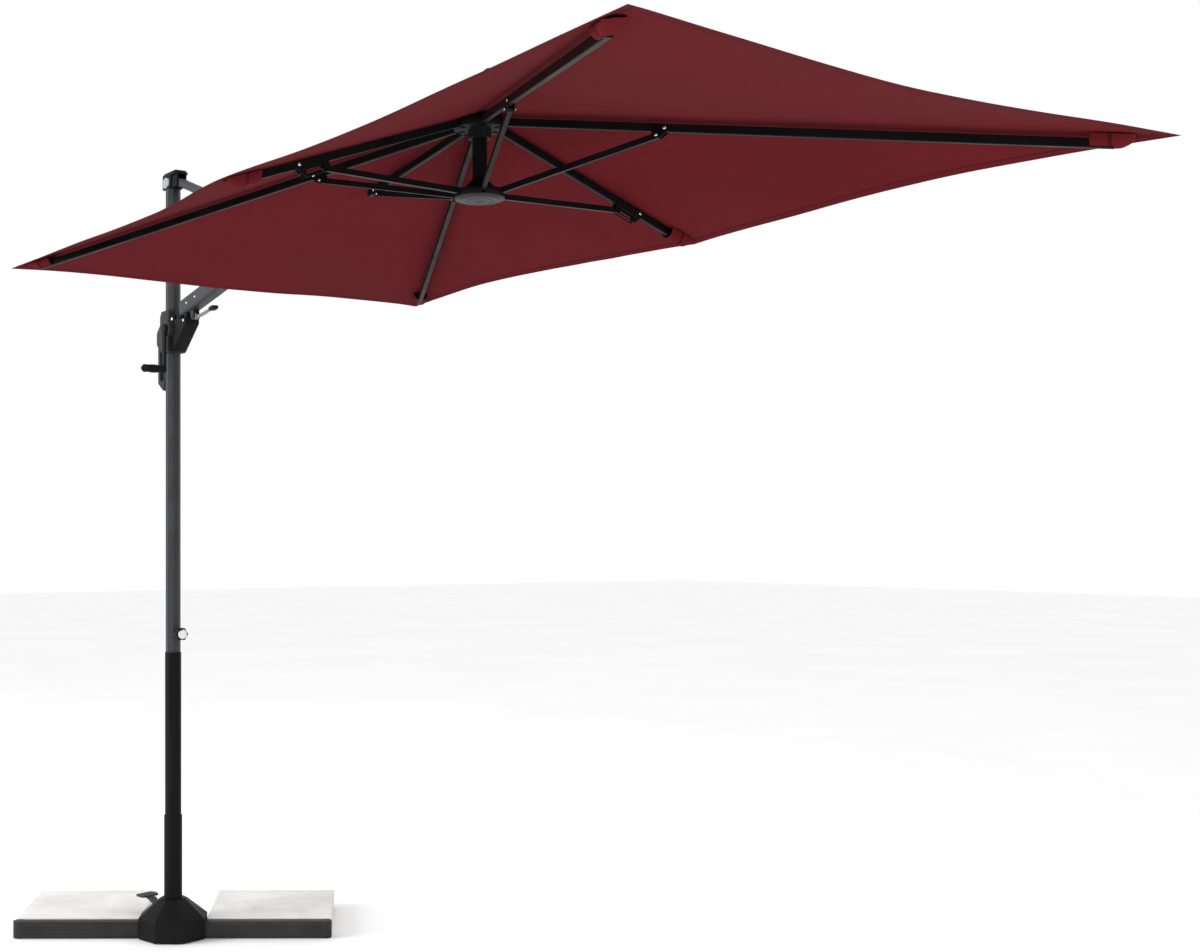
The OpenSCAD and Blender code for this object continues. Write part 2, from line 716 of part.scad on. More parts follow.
module slider_shell() {
    color([0.15, 0.15, 0.15]) difference() {
        union() {
            translate([0, 0, slider_low]) linear_extrude(slider_h) round_rect(2 * slider_x, 2 * slider_y, 12);
            translate([crank_x, -slider_y + 6, crank_z]) rotate([90, 0, 0]) cylinder(r = pod_r, h = pod_y - slider_y + 6);
        }
        translate([0, 0, slider_low - cut]) linear_extrude(slider_h + 2 * cut) octagon(liner_af);
        translate([crank_x, -slider_y + pod_sink, crank_z]) rotate([90, 0, 0])
            cylinder(r = drum_r + 1.5, h = drum_w + 2);
        translate([crank_x, -slider_y, crank_z]) rotate([90, 0, 0])
            cylinder(d = shaft_d + 2 * running, h = pod_y);
    }
}
module slider_grip() {
    color([0.15, 0.15, 0.15]) difference() {
        side_plate(grip_w) difference() {
            translate([-grip_front - grip_depth / 2, (grip_low + grip_high) / 2])
                round_rect(grip_depth, grip_high - grip_low, 14);
            translate([-grip_front - 28, (grip_low + slider_pivot_z - 79 + 32) / 2])
                round_rect(28, slider_pivot_z - 79 - grip_low - 32, 12);
            translate([-slider_x, slider_low]) square([slider_x, slider_h]);
        }
    }
}
module slider_bracket() {
    seat_top = boom_origin_z + (seat_x - seat_l / 2) * tan(boom_slope) - carrier_h / 2 / cos(boom_slope)
        - seat_gap;
    low = slider_pivot_z - 101;
    color([0.17, 0.17, 0.17]) {
        for (side = [-1, 1]) translate([0, side * (cheek_in + cheek_t / 2), 0]) {
            side_plate(cheek_t) polygon([
                [slider_x, low], [slider_x + 12, low], [seat_x + seat_l / 2, slider_pivot_z - 22],
                [seat_x + seat_l / 2, slider_pivot_z - 3], [link_x + 14, slider_pivot_z - 3],
                [link_x + 8, slider_pivot_z + 13], [slider_x, slider_pivot_z + 13]]);
        }
        // closing wall along the sloping front
        side_plate(2 * cheek_in + 2) polygon([
            [slider_x, low], [slider_x + 12, low], [seat_x + seat_l / 2, slider_pivot_z - 22],
            [seat_x + seat_l / 2, slider_pivot_z - 16], [seat_x + seat_l / 2 - 7, slider_pivot_z - 16],
            [slider_x + 9, low + 6], [slider_x, low + 6]]);
        // seat that the boom root rests on when the parasol is open
        translate([seat_x - seat_l / 2, -cheek_in - 1, slider_pivot_z - 20])
            cube([seat_l, 2 * cheek_in + 2, seat_top - slider_pivot_z + 20]);
        translate([slider_x, -cheek_in - 1, low]) cube([8, 2 * cheek_in + 2, 62]);
        translate([link_x, 0, slider_pivot_z]) pin_y(root_pin_d, 2 * (cheek_in + cheek_t) + 6);
    }
}
module slider_liners() {
    color([0.1, 0.1, 0.1])
        for (z = [slider_low, slider_low + slider_h - liner_l]) translate([0, 0, z])
            linear_extrude(liner_l) difference() {
                octagon(liner_af);
                octagon(mast_af + 2 * side_gap);
            }
}
module crank_arm() {
    color([0.12, 0.12, 0.12]) translate([crank_x, -arm_y, crank_z]) {
        pin_y(30, arm_t);
        translate([0, 0, -crank_len]) pin_y(24, arm_t);
        translate([0, 0, -crank_len / 2]) cube([20, arm_t, crank_len], center = true);
        translate([0, arm_t / 2 + 3, 0]) pin_y(shaft_d, 8);
        translate([0, -arm_t / 2 - crank_grip_len / 2 - 1, -crank_len]) pin_y(spindle_d, crank_grip_len + 2);
        translate([0, -arm_t / 2 - crank_grip_len - 3.5, -crank_len]) pin_y(14, 3);
    }
}
module crank_drum() {
    middle_y = -(pod_y - pod_wall - 1 - drum_w / 2);
    color([0.6, 0.6, 0.58]) translate([crank_x, middle_y, crank_z]) {
        for (side = [-1, 1]) translate([0, side * (drum_w / 2 - 1), 0]) pin_y(2 * drum_r, 2);
        pin_y(2 * drum_r - 12, drum_w);
    }
}
module crank_grip() {
    y0 = arm_y + arm_t / 2 + 1;
    color([0.12, 0.12, 0.12]) translate([crank_x, -y0, crank_z - crank_len]) rotate([90, 0, 0])
        difference() {
            rotate_extrude() polygon([
                [0, 0], [11, 0], [13, 3], [13, 8], [10.5, 14], [12, crank_grip_len * 0.5],
                [13.5, crank_grip_len - 12], [12, crank_grip_len - 3], [9, crank_grip_len], [0, crank_grip_len]]);
            translate([0, 0, -cut]) cylinder(d = spindle_d + 2 * running, h = crank_grip_len + 2 * cut);
        }
}

// ---- canopy frame -----------------------------------------------------------------------

module rib(az, slope, length) {
    color([0.14, 0.14, 0.14]) rib_frame(az, slope) {
        difference() {
            translate([rib_start, 0, 0]) bar_x(length - rib_start - tip_len, rib_w, rib_h, 2);
            translate([rib_start + 6, 0, 0])
                bar_x(length - rib_start - tip_len - 12, rib_w - 2 * rib_wall, rib_h - 2 * rib_wall, 1);
        }
        difference() {
            union() {
                pin_y(2 * rib_eye_r, rib_w);
                translate([0, -rib_w / 2, -rib_eye_r]) cube([rib_start, rib_w, 2 * rib_eye_r]);
            }
            pin_y(pin_d + 2 * running, rib_w + 2 * cut);
        }
        // moulded tip that the fabric pocket pulls over
        translate([length - tip_len, 0, 0]) bar_x(tip_len - 4, rib_w + 2, rib_h, 4);
        translate([length - 4, 0, 0]) bar_x(4, rib_w - 2, rib_h - 4, 3);
    }
}
module bracket(az, slope, at_u, drop) {
    slotted = drop > strut_drop;
    travel = slotted ? slot_travel : 0;
    low = drop + eye_r + (slotted ? slot_half - 1 : 0);
    color([0.1, 0.1, 0.1]) rib_frame(az, slope) translate([at_u, 0, 0]) {
        for (side = [-1, 1]) translate([0, side * (rib_w / 2 + plate_t / 2), 0]) {
            difference() {
                side_plate(plate_t) polygon([
                    [-plate_back + 4, -low], [travel + plate_back - 4, -low], [travel + plate_front, -rib_h / 4],
                    [travel + plate_front, rib_h / 4], [-plate_back, rib_h / 4], [-plate_back, -drop]]);
                if (slotted)
                    translate([travel / 2, 0, -drop]) rotate([90, 0, 0])
                        linear_extrude(plate_t + 2 * cut, center = true)
                            round_rect(travel + pin_d + 3, pin_d + 2 * slot_half, pin_d / 2 + slot_half - 0.5);
            }
            translate([travel + 16, side * (plate_t / 2 + 0.6), 0]) pin_y(2 * rivet_r, 1.2);
        }
        if (!slotted) {
            translate([0, 0, -drop]) pin_y(pin_d, rib_w + 2 * plate_t + 3);
        } else {
            // the slotted plates are tied by a spacer past the slot
            translate([travel + 16, 0, -drop + 1]) pin_y(4, rib_w + plate_t);
        }
    }
}
module strut(az, slope, length, outer_pin) {
    boss_w = outer_pin ? strut_w : rib_w - 2 * slot_side;
    color([0.12, 0.12, 0.12]) strut_frame(az, slope) {
        difference() {
            union() {
                pin_y(2 * eye_r, strut_w);
                translate([length, 0, 0]) pin_y(2 * eye_r, boss_w);
                translate([0, -strut_w / 2, -eye_r]) cube([length, strut_w, strut_h]);
            }
            pin_y(pin_d + 2 * running, strut_w + 2 * cut);
            if (!outer_pin) translate([length, 0, 0]) pin_y(pin_d + 2 * running, boss_w + 2 * cut);
            translate([length / 2, 0, 0])
                cube([length - 4 * eye_r, strut_w - 2 * rib_wall, strut_h - 2 * rib_wall], center = true);
        }
        if (outer_pin) translate([length, 0, 0]) pin_y(pin_d, rib_w + 2 * plate_t + 1);
    }
}
module runner() {
    color([0.13, 0.13, 0.13]) hub(runner_z) {
        difference() {
            rotate_extrude() polygon([
                [0, -runner_low], [runner_r, -runner_low], [runner_r, runner_high - 2],
                [runner_r - 2, runner_high], [slot_r + 4, runner_high], [post_r, runner_cone_z],
                [0, runner_cone_z]]);
            radial_slots(strut_w + 2 * slot_side, slot_r + 2, runner_r, runner_low, runner_cone_z);
            cylinder(r = post_r - 4, h = runner_cone_z + cut);
        }
        difference() {
            translate([0, 0, runner_cone_z])
                cylinder(r = post_r, h = crown_z - runner_z - socket_low + post_overlap - runner_cone_z);
            cylinder(r = post_r - 4, h = crown_z - runner_z);
        }
        hub_pins(strut_w + 7);
    }
}
module runner_disc() {
    color([0.42, 0.42, 0.42]) hub(runner_z - runner_low - disc_t) rotate_extrude() polygon([
        [0, 0], [runner_r - 8, 0], [runner_r - 2, 2], [runner_r, 5], [runner_r, disc_t - 1],
        [runner_r - 1, disc_t], [0, disc_t]]);
}

// ---- canopy fabric ----------------------------------------------------------------------

function fabric_z(p) = apex_z - max(long_face_k * abs(p[1]), short_face_k * abs(p[0]));
function on_ring(p) = let (d = norm(p)) [p[0] * opening_r / d, p[1] * opening_r / d];

// A thin closed sheet over an outline that is listed counter-clockwise seen from above.
// faces holds the flat parts of its top as lists of outline points.
module sheet(outline, faces) {
    n = len(outline);
    top = [for (p = outline) [p[0], p[1], fabric_z(p) + fabric_t]];
    bottom = [for (p = outline) [p[0], p[1], fabric_z(p)]];
    sides = [for (i = [0:n - 1]) [i, (i + 1) % n, (i + 1) % n + n, i + n]];
    polyhedron(points = concat(top, bottom),
               faces = concat([for (f = faces) [for (k = [len(f) - 1:-1:0]) f[k]]],
                              [for (f = faces) [for (k = f) k + n]], sides));
}
module fabric_corner(sx, sy) {
    split = [fabric_x / 2 + seam, fabric_y];
    corner = [fabric_x, fabric_y];
    middle = [fabric_x, seam];
    color([0.42, 0.13, 0.16]) hub(0) mirror([sx < 0 ? 1 : 0, 0, 0]) mirror([0, sy < 0 ? 1 : 0, 0])
        sheet([[opening_r, seam], middle, corner, split, on_ring(split), on_ring(corner)],
              [[0, 1, 2, 5], [5, 2, 3, 4]]);
}
module fabric_mid(sy) {
    far = [fabric_x / 2 - seam, fabric_y];
    near = [-fabric_x / 2 + seam, fabric_y];
    color([0.42, 0.13, 0.16]) hub(0) mirror([0, sy < 0 ? 1 : 0, 0])
        sheet([on_ring(far), far, near, on_ring(near)], [[0, 1, 2, 3]]);
}

base_housing();
base_frame();
front_bars();
slab_left();
slab_right();
feet();
pedal();
swivel_bushes();
socket_tube();
lower_tube();
upper_mast();
lock_ring();
mast_head();
mast_cap();
clamp_knob();
stay();
carrier_tube();
root_hinge();
saddle();
boom_bushes();
clamp_lever();
boom_tube();
boom_tip();
crown();
slider_shell();
slider_grip();
slider_bracket();
slider_liners();
crank_arm();
crank_drum();
crank_grip();
runner();
runner_disc();
rib(az_near_left, corner_slope, corner_len);  // rib_near_left
rib(az_near_right, corner_slope, corner_len);  // rib_near_right
rib(az_mid_left, mid_slope, mid_len);  // rib_mid_left
rib(az_mid_right, mid_slope, mid_len);  // rib_mid_right
rib(az_far_left, corner_slope, corner_len);  // rib_far_left
rib(az_far_right, corner_slope, corner_len);  // rib_far_right
rib(az_short, corner_slope, short_len);  // rib_short
bracket(az_near_left, corner_slope, bracket_u, strut_drop);  // bracket_near_left
bracket(az_near_right, corner_slope, bracket_u, strut_drop);  // bracket_near_right
bracket(az_mid_left, mid_slope, mid_bracket_u, mid_drop);  // bracket_mid_left
bracket(az_mid_right, mid_slope, mid_bracket_u, mid_drop);  // bracket_mid_right
bracket(az_far_left, corner_slope, bracket_u, strut_drop);  // bracket_far_left
bracket(az_far_right, corner_slope, bracket_u, strut_drop);  // bracket_far_right
bracket(az_short, corner_slope, bracket_u, strut_drop);  // bracket_short
strut(az_near_left, -link_slope, link_len, false);  // strut_near_left
strut(az_near_right, -link_slope, link_len, false);  // strut_near_right
strut(az_mid_left, mid_strut_slope, mid_strut_len, true);  // strut_mid_left
strut(az_mid_right, mid_strut_slope, mid_strut_len, true);  // strut_mid_right
strut(az_far_left, -link_slope, link_len, false);  // strut_far_left
strut(az_far_right, -link_slope, link_len, false);  // strut_far_right
strut(az_short, -link_slope, link_len, false);  // strut_short
fabric_corner(-1, 1);  // fabric_near_left
fabric_corner(-1, -1);  // fabric_near_right
fabric_mid(1);  // fabric_mid_left
fabric_mid(-1);  // fabric_mid_right
fabric_corner(1, 1);  // fabric_far_left
fabric_corner(1, -1);  // fabric_far_right
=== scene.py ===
"""Cantilever garden parasol: fabric canopy, moulded fittings, metal finishes and studio stage.

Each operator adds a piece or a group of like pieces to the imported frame. Lengths are
metres in the frame's own axes: Z up, X along the boom, origin on the mast axis.
"""

import json
import math

import bpy
import bmesh
from bpy.props import FloatProperty, FloatVectorProperty, PointerProperty
from mathutils import Matrix, Vector, noise


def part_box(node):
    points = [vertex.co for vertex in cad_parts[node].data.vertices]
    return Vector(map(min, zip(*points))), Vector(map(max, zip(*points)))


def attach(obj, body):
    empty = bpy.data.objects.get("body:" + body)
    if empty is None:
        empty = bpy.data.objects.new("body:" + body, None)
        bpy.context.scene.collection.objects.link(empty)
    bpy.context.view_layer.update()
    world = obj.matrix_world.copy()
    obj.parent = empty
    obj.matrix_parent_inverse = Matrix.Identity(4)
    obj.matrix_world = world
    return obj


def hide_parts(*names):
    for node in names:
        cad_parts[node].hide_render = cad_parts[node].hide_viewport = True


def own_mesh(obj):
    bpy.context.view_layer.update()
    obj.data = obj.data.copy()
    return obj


bl_info = {
    "name": "Cantilever parasol",
    "version": (1, 0, 0),
    "blender": (4, 5, 0),
    "location": "View3D > Sidebar > Parasol",
    "description": "Builds the canopy, fittings, finishes and stage of a cantilever parasol",
    "category": "Object",
}

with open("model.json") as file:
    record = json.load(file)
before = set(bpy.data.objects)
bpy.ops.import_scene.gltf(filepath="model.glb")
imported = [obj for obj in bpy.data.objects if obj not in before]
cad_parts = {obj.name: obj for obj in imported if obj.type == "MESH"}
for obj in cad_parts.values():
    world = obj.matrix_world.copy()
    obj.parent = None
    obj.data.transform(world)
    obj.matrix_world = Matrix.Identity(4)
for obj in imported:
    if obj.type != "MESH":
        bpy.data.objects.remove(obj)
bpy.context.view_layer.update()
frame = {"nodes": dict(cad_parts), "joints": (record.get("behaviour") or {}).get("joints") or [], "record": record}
NODES = frame["nodes"]
JOINTS = {joint["name"]: joint for joint in frame["joints"]}

RIBS = ("near_right", "near_left", "mid_left", "mid_right", "far_left", "far_right", "short")
PANELS = RIBS[:6]
FOLD = {name: "canopy_fold" if name == "near_right" else "fold_" + name for name in RIBS}
CROWN_Z = JOINTS["canopy_fold"]["pos_m"][2]
HUB_X = (JOINTS["fold_far_left"]["pos_m"][0] + JOINTS["fold_near_left"]["pos_m"][0]) / 2
PIN_RADIUS = JOINTS["fold_mid_left"]["pos_m"][1]
CORNER_SLOPE = math.radians(9.3)
BOOM_SLOPE = math.radians(11.4)
TIP_X, TIP_Y = 1.188, 0.622
RIB_HEIGHT = 0.018
CORNER_AZIMUTH = math.atan2(TIP_Y, TIP_X)
CORNER_REACH = math.hypot(TIP_X, TIP_Y)
FALL = CORNER_REACH * math.tan(CORNER_SLOPE)
LONG_FALL, SHORT_FALL = FALL / TIP_Y, FALL / TIP_X
MID_SLOPE = math.atan(LONG_FALL)
CLOTH_LIFT = 0.0015
APEX_Z = (CROWN_Z + PIN_RADIUS * LONG_FALL + RIB_HEIGHT / 2 / math.cos(MID_SLOPE)
          + CLOTH_LIFT)
AZIMUTH = {
    "far_left": CORNER_AZIMUTH, "mid_left": math.pi / 2, "near_left": math.pi - CORNER_AZIMUTH,
    "short": math.pi, "near_right": math.pi + CORNER_AZIMUTH, "mid_right": 1.5 * math.pi,
    "far_right": 2 * math.pi - CORNER_AZIMUTH,
}
LINK_LENGTH = 0.392
STRUT_HALF, STRUT_GAP = 0.0065, 0.001
STRUT_DROP = RIB_HEIGHT / 2 + STRUT_HALF + STRUT_GAP
BRACKET_U = math.sqrt(LINK_LENGTH ** 2 - STRUT_DROP ** 2)

# The cloth reaches past the rib tips by this share, and curves in most between them.
EDGE_REACH = 1.08
EDGE_X, EDGE_Y = TIP_X * EDGE_REACH, TIP_Y * EDGE_REACH
SCALLOP = 0.012
# Sag is full at this radius. Next to a rib the cloth lies flat, then blends into the sag.
FULL_SAG_RADIUS = 1.25
RIB_FLAT, RIB_BLEND = 0.010, 0.045
# The short rib under the boom holds the cloth up as far as this, and to each side of it.
SHORT_RIB_RADIUS, SHORT_RIB_WIDTH = 0.52, 0.09
# Gathers start round the hub and fade outwards. On the side away from the mast they are low.
GATHER_START, GATHER_FADE, FAR_GATHER = 0.07, 0.26, 0.35
DRIFT = 0.0016

PANEL_INNER, PANEL_COLUMNS, PANEL_ROWS = 0.070, 44, 46
CAP_INNER, CAP_OUTER, CAP_LIFT, CAP_COLUMNS, CAP_ROWS = 0.0195, 0.105, 0.0035, 96, 12
DOUBLES = 1e-5
SMOOTH_ANGLE = 32.0

# Sockets of a colour mix node.
MIX_FACTOR, MIX_A, MIX_B, MIX_RESULT = 0, 6, 7, 2


# ---- sizes and colours ----


def length_setting(name, description, default, low, high):
    """A length that the panel shows."""
    return FloatProperty(name=name, description=description, default=default, min=low, max=high,
                         unit="LENGTH")


def colour_setting(name, description, default):
    """A colour that the panel shows."""
    return FloatVectorProperty(name=name, description=description, default=default, size=3,
                               subtype="COLOR", min=0.0, max=1.0)


class ParasolSizes(bpy.types.PropertyGroup):
    """Sizes of the soft and moulded pieces."""
    edge_curve_long: length_setting(
        "Long edge curve", "How far the long fabric edges curve in", 0.034, 0.0, 0.1)
    edge_curve_short: length_setting(
        "Short edge curve", "How far the short fabric edges curve in", 0.042, 0.0, 0.1)
    fabric_sag: length_setting(
        "Fabric sag", "How far the fabric sags between two ribs", 0.016, 0.0, 0.06)
    fabric_thickness: length_setting(
        "Fabric thickness", "Thickness of the canopy cloth", 0.0009, 0.0004, 0.003)
    gather_height: length_setting(
        "Gathers", "Height of the creases round the hub", 0.0045, 0.0, 0.02)
    pocket_length: length_setting(
        "Pocket length", "Length of the fabric pocket on each rib tip", 0.048, 0.03, 0.12)
    edge_radius: length_setting(
        "Edge radius", "Rounding of the moulded covers", 0.003, 0.0005, 0.006)
    lens: FloatProperty(
        name="Lens", description="Focal length of the main camera, in mm",
        default=47.25, min=20.0, max=120.0)


class ParasolColours(bpy.types.PropertyGroup):
    """Base colours of the finishes."""
    canopy: colour_setting("Canopy", "Canopy cloth", (0.104, 0.0100, 0.0134))
    anthracite: colour_setting(
        "Anthracite", "Coat of the upper mast, boom and stay", (0.034, 0.035, 0.037))
    black_coat: colour_setting(
        "Black coat", "Coat of the lower tubes, ribs and struts", (0.0050, 0.0050, 0.0054))
    black_plastic: colour_setting(
        "Black plastic", "Moulded covers and grips", (0.0062, 0.0062, 0.0066))
    # The hub disc's grey plastic colour is darkened about 0.4 times: painted shade for the shade the disc lies in
    # under the canopy.
    painted_shade_grey_plastic: colour_setting("Grey plastic with painted shade", "Hub disc", (0.038, 0.039, 0.041))
    bar_grey: colour_setting("Bar grey", "Front bars of the base", (0.031, 0.031, 0.032))
    concrete: colour_setting("Concrete", "Ballast slabs", (0.70, 0.69, 0.67))


def sizes():
    """The sizes set on the scene."""
    return bpy.context.scene.parasol_sizes


def colours():
    """The colours set on the scene."""
    return bpy.context.scene.parasol_colours


# ---- finishes ----


class Finish:
    """A material under construction, with short ways to add and join its nodes."""

    def __init__(self, name, colour, roughness, metallic=0.0):
        self.material = bpy.data.materials.new(name)
        self.material.use_nodes = True
        self.tree = self.material.node_tree
        self.shader = self.tree.nodes["Principled BSDF"]
        self.colour = (*colour, 1.0)
        self.material.diffuse_color = self.colour
        self.shader.inputs["Base Color"].default_value = self.colour
        self.shader.inputs["Roughness"].default_value = roughness
        self.shader.inputs["Metallic"].default_value = metallic

    def add(self, kind, **values):
        """A new node with its sockets or settings set by name."""
        node = self.tree.nodes.new(kind)
        for key, value in values.items():
            if key in node.inputs:
                node.inputs[key].default_value = value
            else:
                setattr(node, key, value)
        return node

    def join(self, source, target):
        """Links one socket to another."""
        self.tree.links.new(source, target)

    def place(self, stretch=(1.0, 1.0, 1.0), source="Object"):
        """Stretched coordinates of the piece itself or of its cloth map."""
        mapping = self.add("ShaderNodeMapping", Scale=stretch)
        self.join(self.add("ShaderNodeTexCoord").outputs[source], mapping.inputs["Vector"])
        return mapping.outputs["Vector"]

    def noise(self, vector, scale, detail=3.0, rough=0.5):
        """A noise factor over the coordinates."""
        node = self.add("ShaderNodeTexNoise", Scale=scale, Detail=detail, Roughness=rough)
        self.join(vector, node.inputs["Vector"])
        return node.outputs["Fac"]

    def spread(self, value, low, high, start=0.35, end=0.65):
        """The value between start and end, mapped to low and high."""
        node = self.add("ShaderNodeMapRange")
        self.join(value, node.inputs["Value"])
        ends = {"From Min": start, "From Max": end, "To Min": low, "To Max": high}
        for key, number in ends.items():
            node.inputs[key].default_value = number
        return node.outputs["Result"]

    def shade(self, factor, dark=0.8, light=1.2):
        """The base colour, darker where the factor is 0 and lighter where it is 1."""
        mix = self.add("ShaderNodeMix", data_type="RGBA")
        ends = [tuple(min(1.0, c * k) for c in self.colour[:3]) + (1.0,) for k in (dark, light)]
        mix.inputs[MIX_A].default_value, mix.inputs[MIX_B].default_value = ends
        self.join(factor, mix.inputs[MIX_FACTOR])
        return mix.outputs[MIX_RESULT]

    def tint(self, base, factor, colour):
        """The base, mixed towards a colour where the factor is high."""
        mix = self.add("ShaderNodeMix", data_type="RGBA")
        self.join(base, mix.inputs[MIX_A])
        mix.inputs[MIX_B].default_value = (*colour, 1.0)
        self.join(factor, mix.inputs[MIX_FACTOR])
        return mix.outputs[MIX_RESULT]

    def bump(self, height, strength, distance, below=None):
        """A normal raised by the height, over another one if given."""
        node = self.add("ShaderNodeBump", Strength=strength, Distance=distance)
        self.join(height, node.inputs["Height"])
        if below is not None:
            self.join(below, node.inputs["Normal"])
        return node.outputs["Normal"]

    def end(self, colour=None, roughness=None, normal=None):
        """Joins what is given to the shader; returns the material."""
        for key, value in (("Base Color", colour), ("Roughness", roughness), ("Normal", normal)):
            if value is not None:
                self.join(value, self.shader.inputs[key])
        return self.material


def powder_coat(name, colour, roughness, scuff, gloss=0.07):
    """Powder-coated metal: fine orange peel, mottled gloss and a few paler scuffs."""
    f = Finish(name, colour, roughness)
    f.shader.inputs["Specular IOR Level"].default_value = gloss
    where = f.place()
    mottle = f.noise(where, 9.0, 5.0, 0.6)
    scuffs = f.spread(f.noise(f.place((1.0, 1.0, 0.22)), 70.0, 6.0, 0.7), 0.0, scuff, 0.60, 0.78)
    base = f.tint(f.shade(f.spread(mottle, 0.0, 1.0), 0.86, 1.16), scuffs,
                  [min(1.0, c * 1.9 + 0.012) for c in colour])
    peel = f.noise(where, 900.0, 2.0)
    return f.end(base, f.spread(mottle, roughness - 0.06, roughness + 0.09),
                 f.bump(peel, 0.18, 0.0004))


def moulded(name, colour, roughness, grain=1500.0):
    """Moulded plastic: spark-eroded grain, soft flow marks and uneven sheen."""
    f = Finish(name, colour, roughness)
    f.shader.inputs["Specular IOR Level"].default_value = 0.08
    where = f.place()
    cells = f.add("ShaderNodeTexVoronoi", Scale=grain)
    f.join(where, cells.inputs["Vector"])
    flow = f.noise(where, 14.0, 4.0, 0.55)
    grainy = f.bump(cells.outputs["Distance"], 0.22, 0.0003)
    rub = f.spread(f.noise(where, 45.0, 6.0, 0.75), 0.0, 0.45, 0.58, 0.75)
    base = f.tint(f.shade(f.spread(flow, 0.0, 1.0), 0.85, 1.2), rub,
                  [c * 1.6 + 0.006 for c in colour])
    return f.end(base, f.spread(flow, roughness - 0.07, roughness + 0.08),
                 f.bump(flow, 0.10, 0.002, grainy))


def brushed(name, colour, roughness):
    """Brushed metal with its lines along X."""
    f = Finish(name, colour, roughness, 1.0)
    lines = f.noise(f.place((6.0, 600.0, 600.0)), 2.0, 4.0, 0.6)
    smudge = f.noise(f.place(), 22.0, 3.0)
    return f.end(f.shade(f.spread(lines, 0.0, 1.0), 0.82, 1.1),
                 f.spread(smudge, roughness - 0.05, roughness + 0.12),
                 f.bump(lines, 0.25, 0.0003))


def bright_steel(name):
    """Plated rivet heads and rims."""
    f = Finish(name, (0.62, 0.62, 0.64), 0.28, 1.0)
    spots = f.noise(f.place(), 260.0, 4.0)
    return f.end(f.shade(f.spread(spots, 0.0, 1.0), 0.86, 1.08), f.spread(spots, 0.2, 0.38),
                 f.bump(spots, 0.08, 0.0003))


def cast_concrete(name, colour):
    """Pale cast slab: sandy colour patches, pores and a rough skin."""
    f = Finish(name, colour, 0.92)
    where = f.place()
    patch = f.noise(where, 7.0, 6.0, 0.6)
    sand = f.noise(where, 420.0, 4.0, 0.7)
    pores = f.add("ShaderNodeTexVoronoi", Scale=95.0)
    f.join(where, pores.inputs["Vector"])
    pit = f.spread(pores.outputs["Distance"], 0.0, 1.0, 0.06, 0.2)
    base = f.tint(f.shade(f.spread(patch, 0.0, 1.0), 0.88, 1.08),
                  f.spread(sand, 0.0, 0.35, 0.5, 0.7), [c * 0.72 for c in colour])
    return f.end(base, f.spread(sand, 0.86, 0.97),
                 f.bump(sand, 0.35, 0.0012, f.bump(pit, 0.4, 0.002)))


def soft_rubber(name):
    """Dull rubber with dust on it."""
    f = Finish(name, (0.018, 0.018, 0.018), 0.85)
    dust = f.noise(f.place(), 60.0, 5.0, 0.7)
    return f.end(f.shade(f.spread(dust, 0.0, 1.0), 0.8, 1.7), f.spread(dust, 0.75, 0.92),
                 f.bump(f.noise(f.place(), 700.0), 0.2, 0.0004))


def woven_cloth(name, colour):
    """Plain-weave polyester: crossing threads, slubs, soft shade changes, hem and seams.

    The weave follows the UV map, which is in metres. Hem and seam are distances on the mesh.
    """
    f = Finish(name, colour, 0.82)
    f.shader.inputs["Sheen Weight"].default_value = 0.004
    f.shader.inputs["Sheen Roughness"].default_value = 0.45
    f.shader.inputs["Specular IOR Level"].default_value = 0.02
    cloth = f.place(source="UV")
    threads = []
    for axis in ("X", "Y"):
        wave = f.add("ShaderNodeTexWave", wave_type="BANDS", bands_direction=axis, Scale=190.0)
        wave.inputs["Distortion"].default_value = 0.6
        f.join(cloth, wave.inputs["Vector"])
        threads.append(wave.outputs["Fac"])
    weave = f.add("ShaderNodeMath", operation="MAXIMUM")
    f.join(threads[0], weave.inputs[0])
    f.join(threads[1], weave.inputs[1])
    slub = f.noise(f.place((1.0, 14.0, 1.0), "UV"), 60.0, 3.0)
    cloud = f.noise(cloth, 3.2, 4.0, 0.55)
    creases = f.noise(f.place((1.0, 1.8, 1.0), "UV"), 9.0, 2.0, 0.4)
    base = f.shade(f.spread(cloud, 0.0, 1.0, 0.3, 0.7), 0.90, 1.10)
    base = f.tint(base, f.spread(slub, 0.0, 0.30, 0.5, 0.8), [c * 0.72 for c in colour])
    for attribute, start, end in (("hem", 0.0175, 0.0205), ("seam", 0.0075, 0.0100)):
        distance = f.add("ShaderNodeAttribute", attribute_name=attribute).outputs["Fac"]
        line = f.add("ShaderNodeMath", operation="COMPARE")
        f.join(distance, line.inputs[0])
        line.inputs[1].default_value = (start + end) / 2
        line.inputs[2].default_value = (end - start) / 2
        base = f.tint(base, line.outputs["Value"], [c * 0.5 for c in colour])
        fold = f.spread(distance, 0.22, 0.0, start - 0.001, end)
        base = f.tint(base, fold, [c * 0.62 for c in colour])
    normal = f.bump(weave.outputs["Value"], 0.30, 0.0005, f.bump(creases, 0.30, 0.004))
    return f.end(base, f.spread(cloud, 0.76, 0.9), normal)


FINISHES = {}


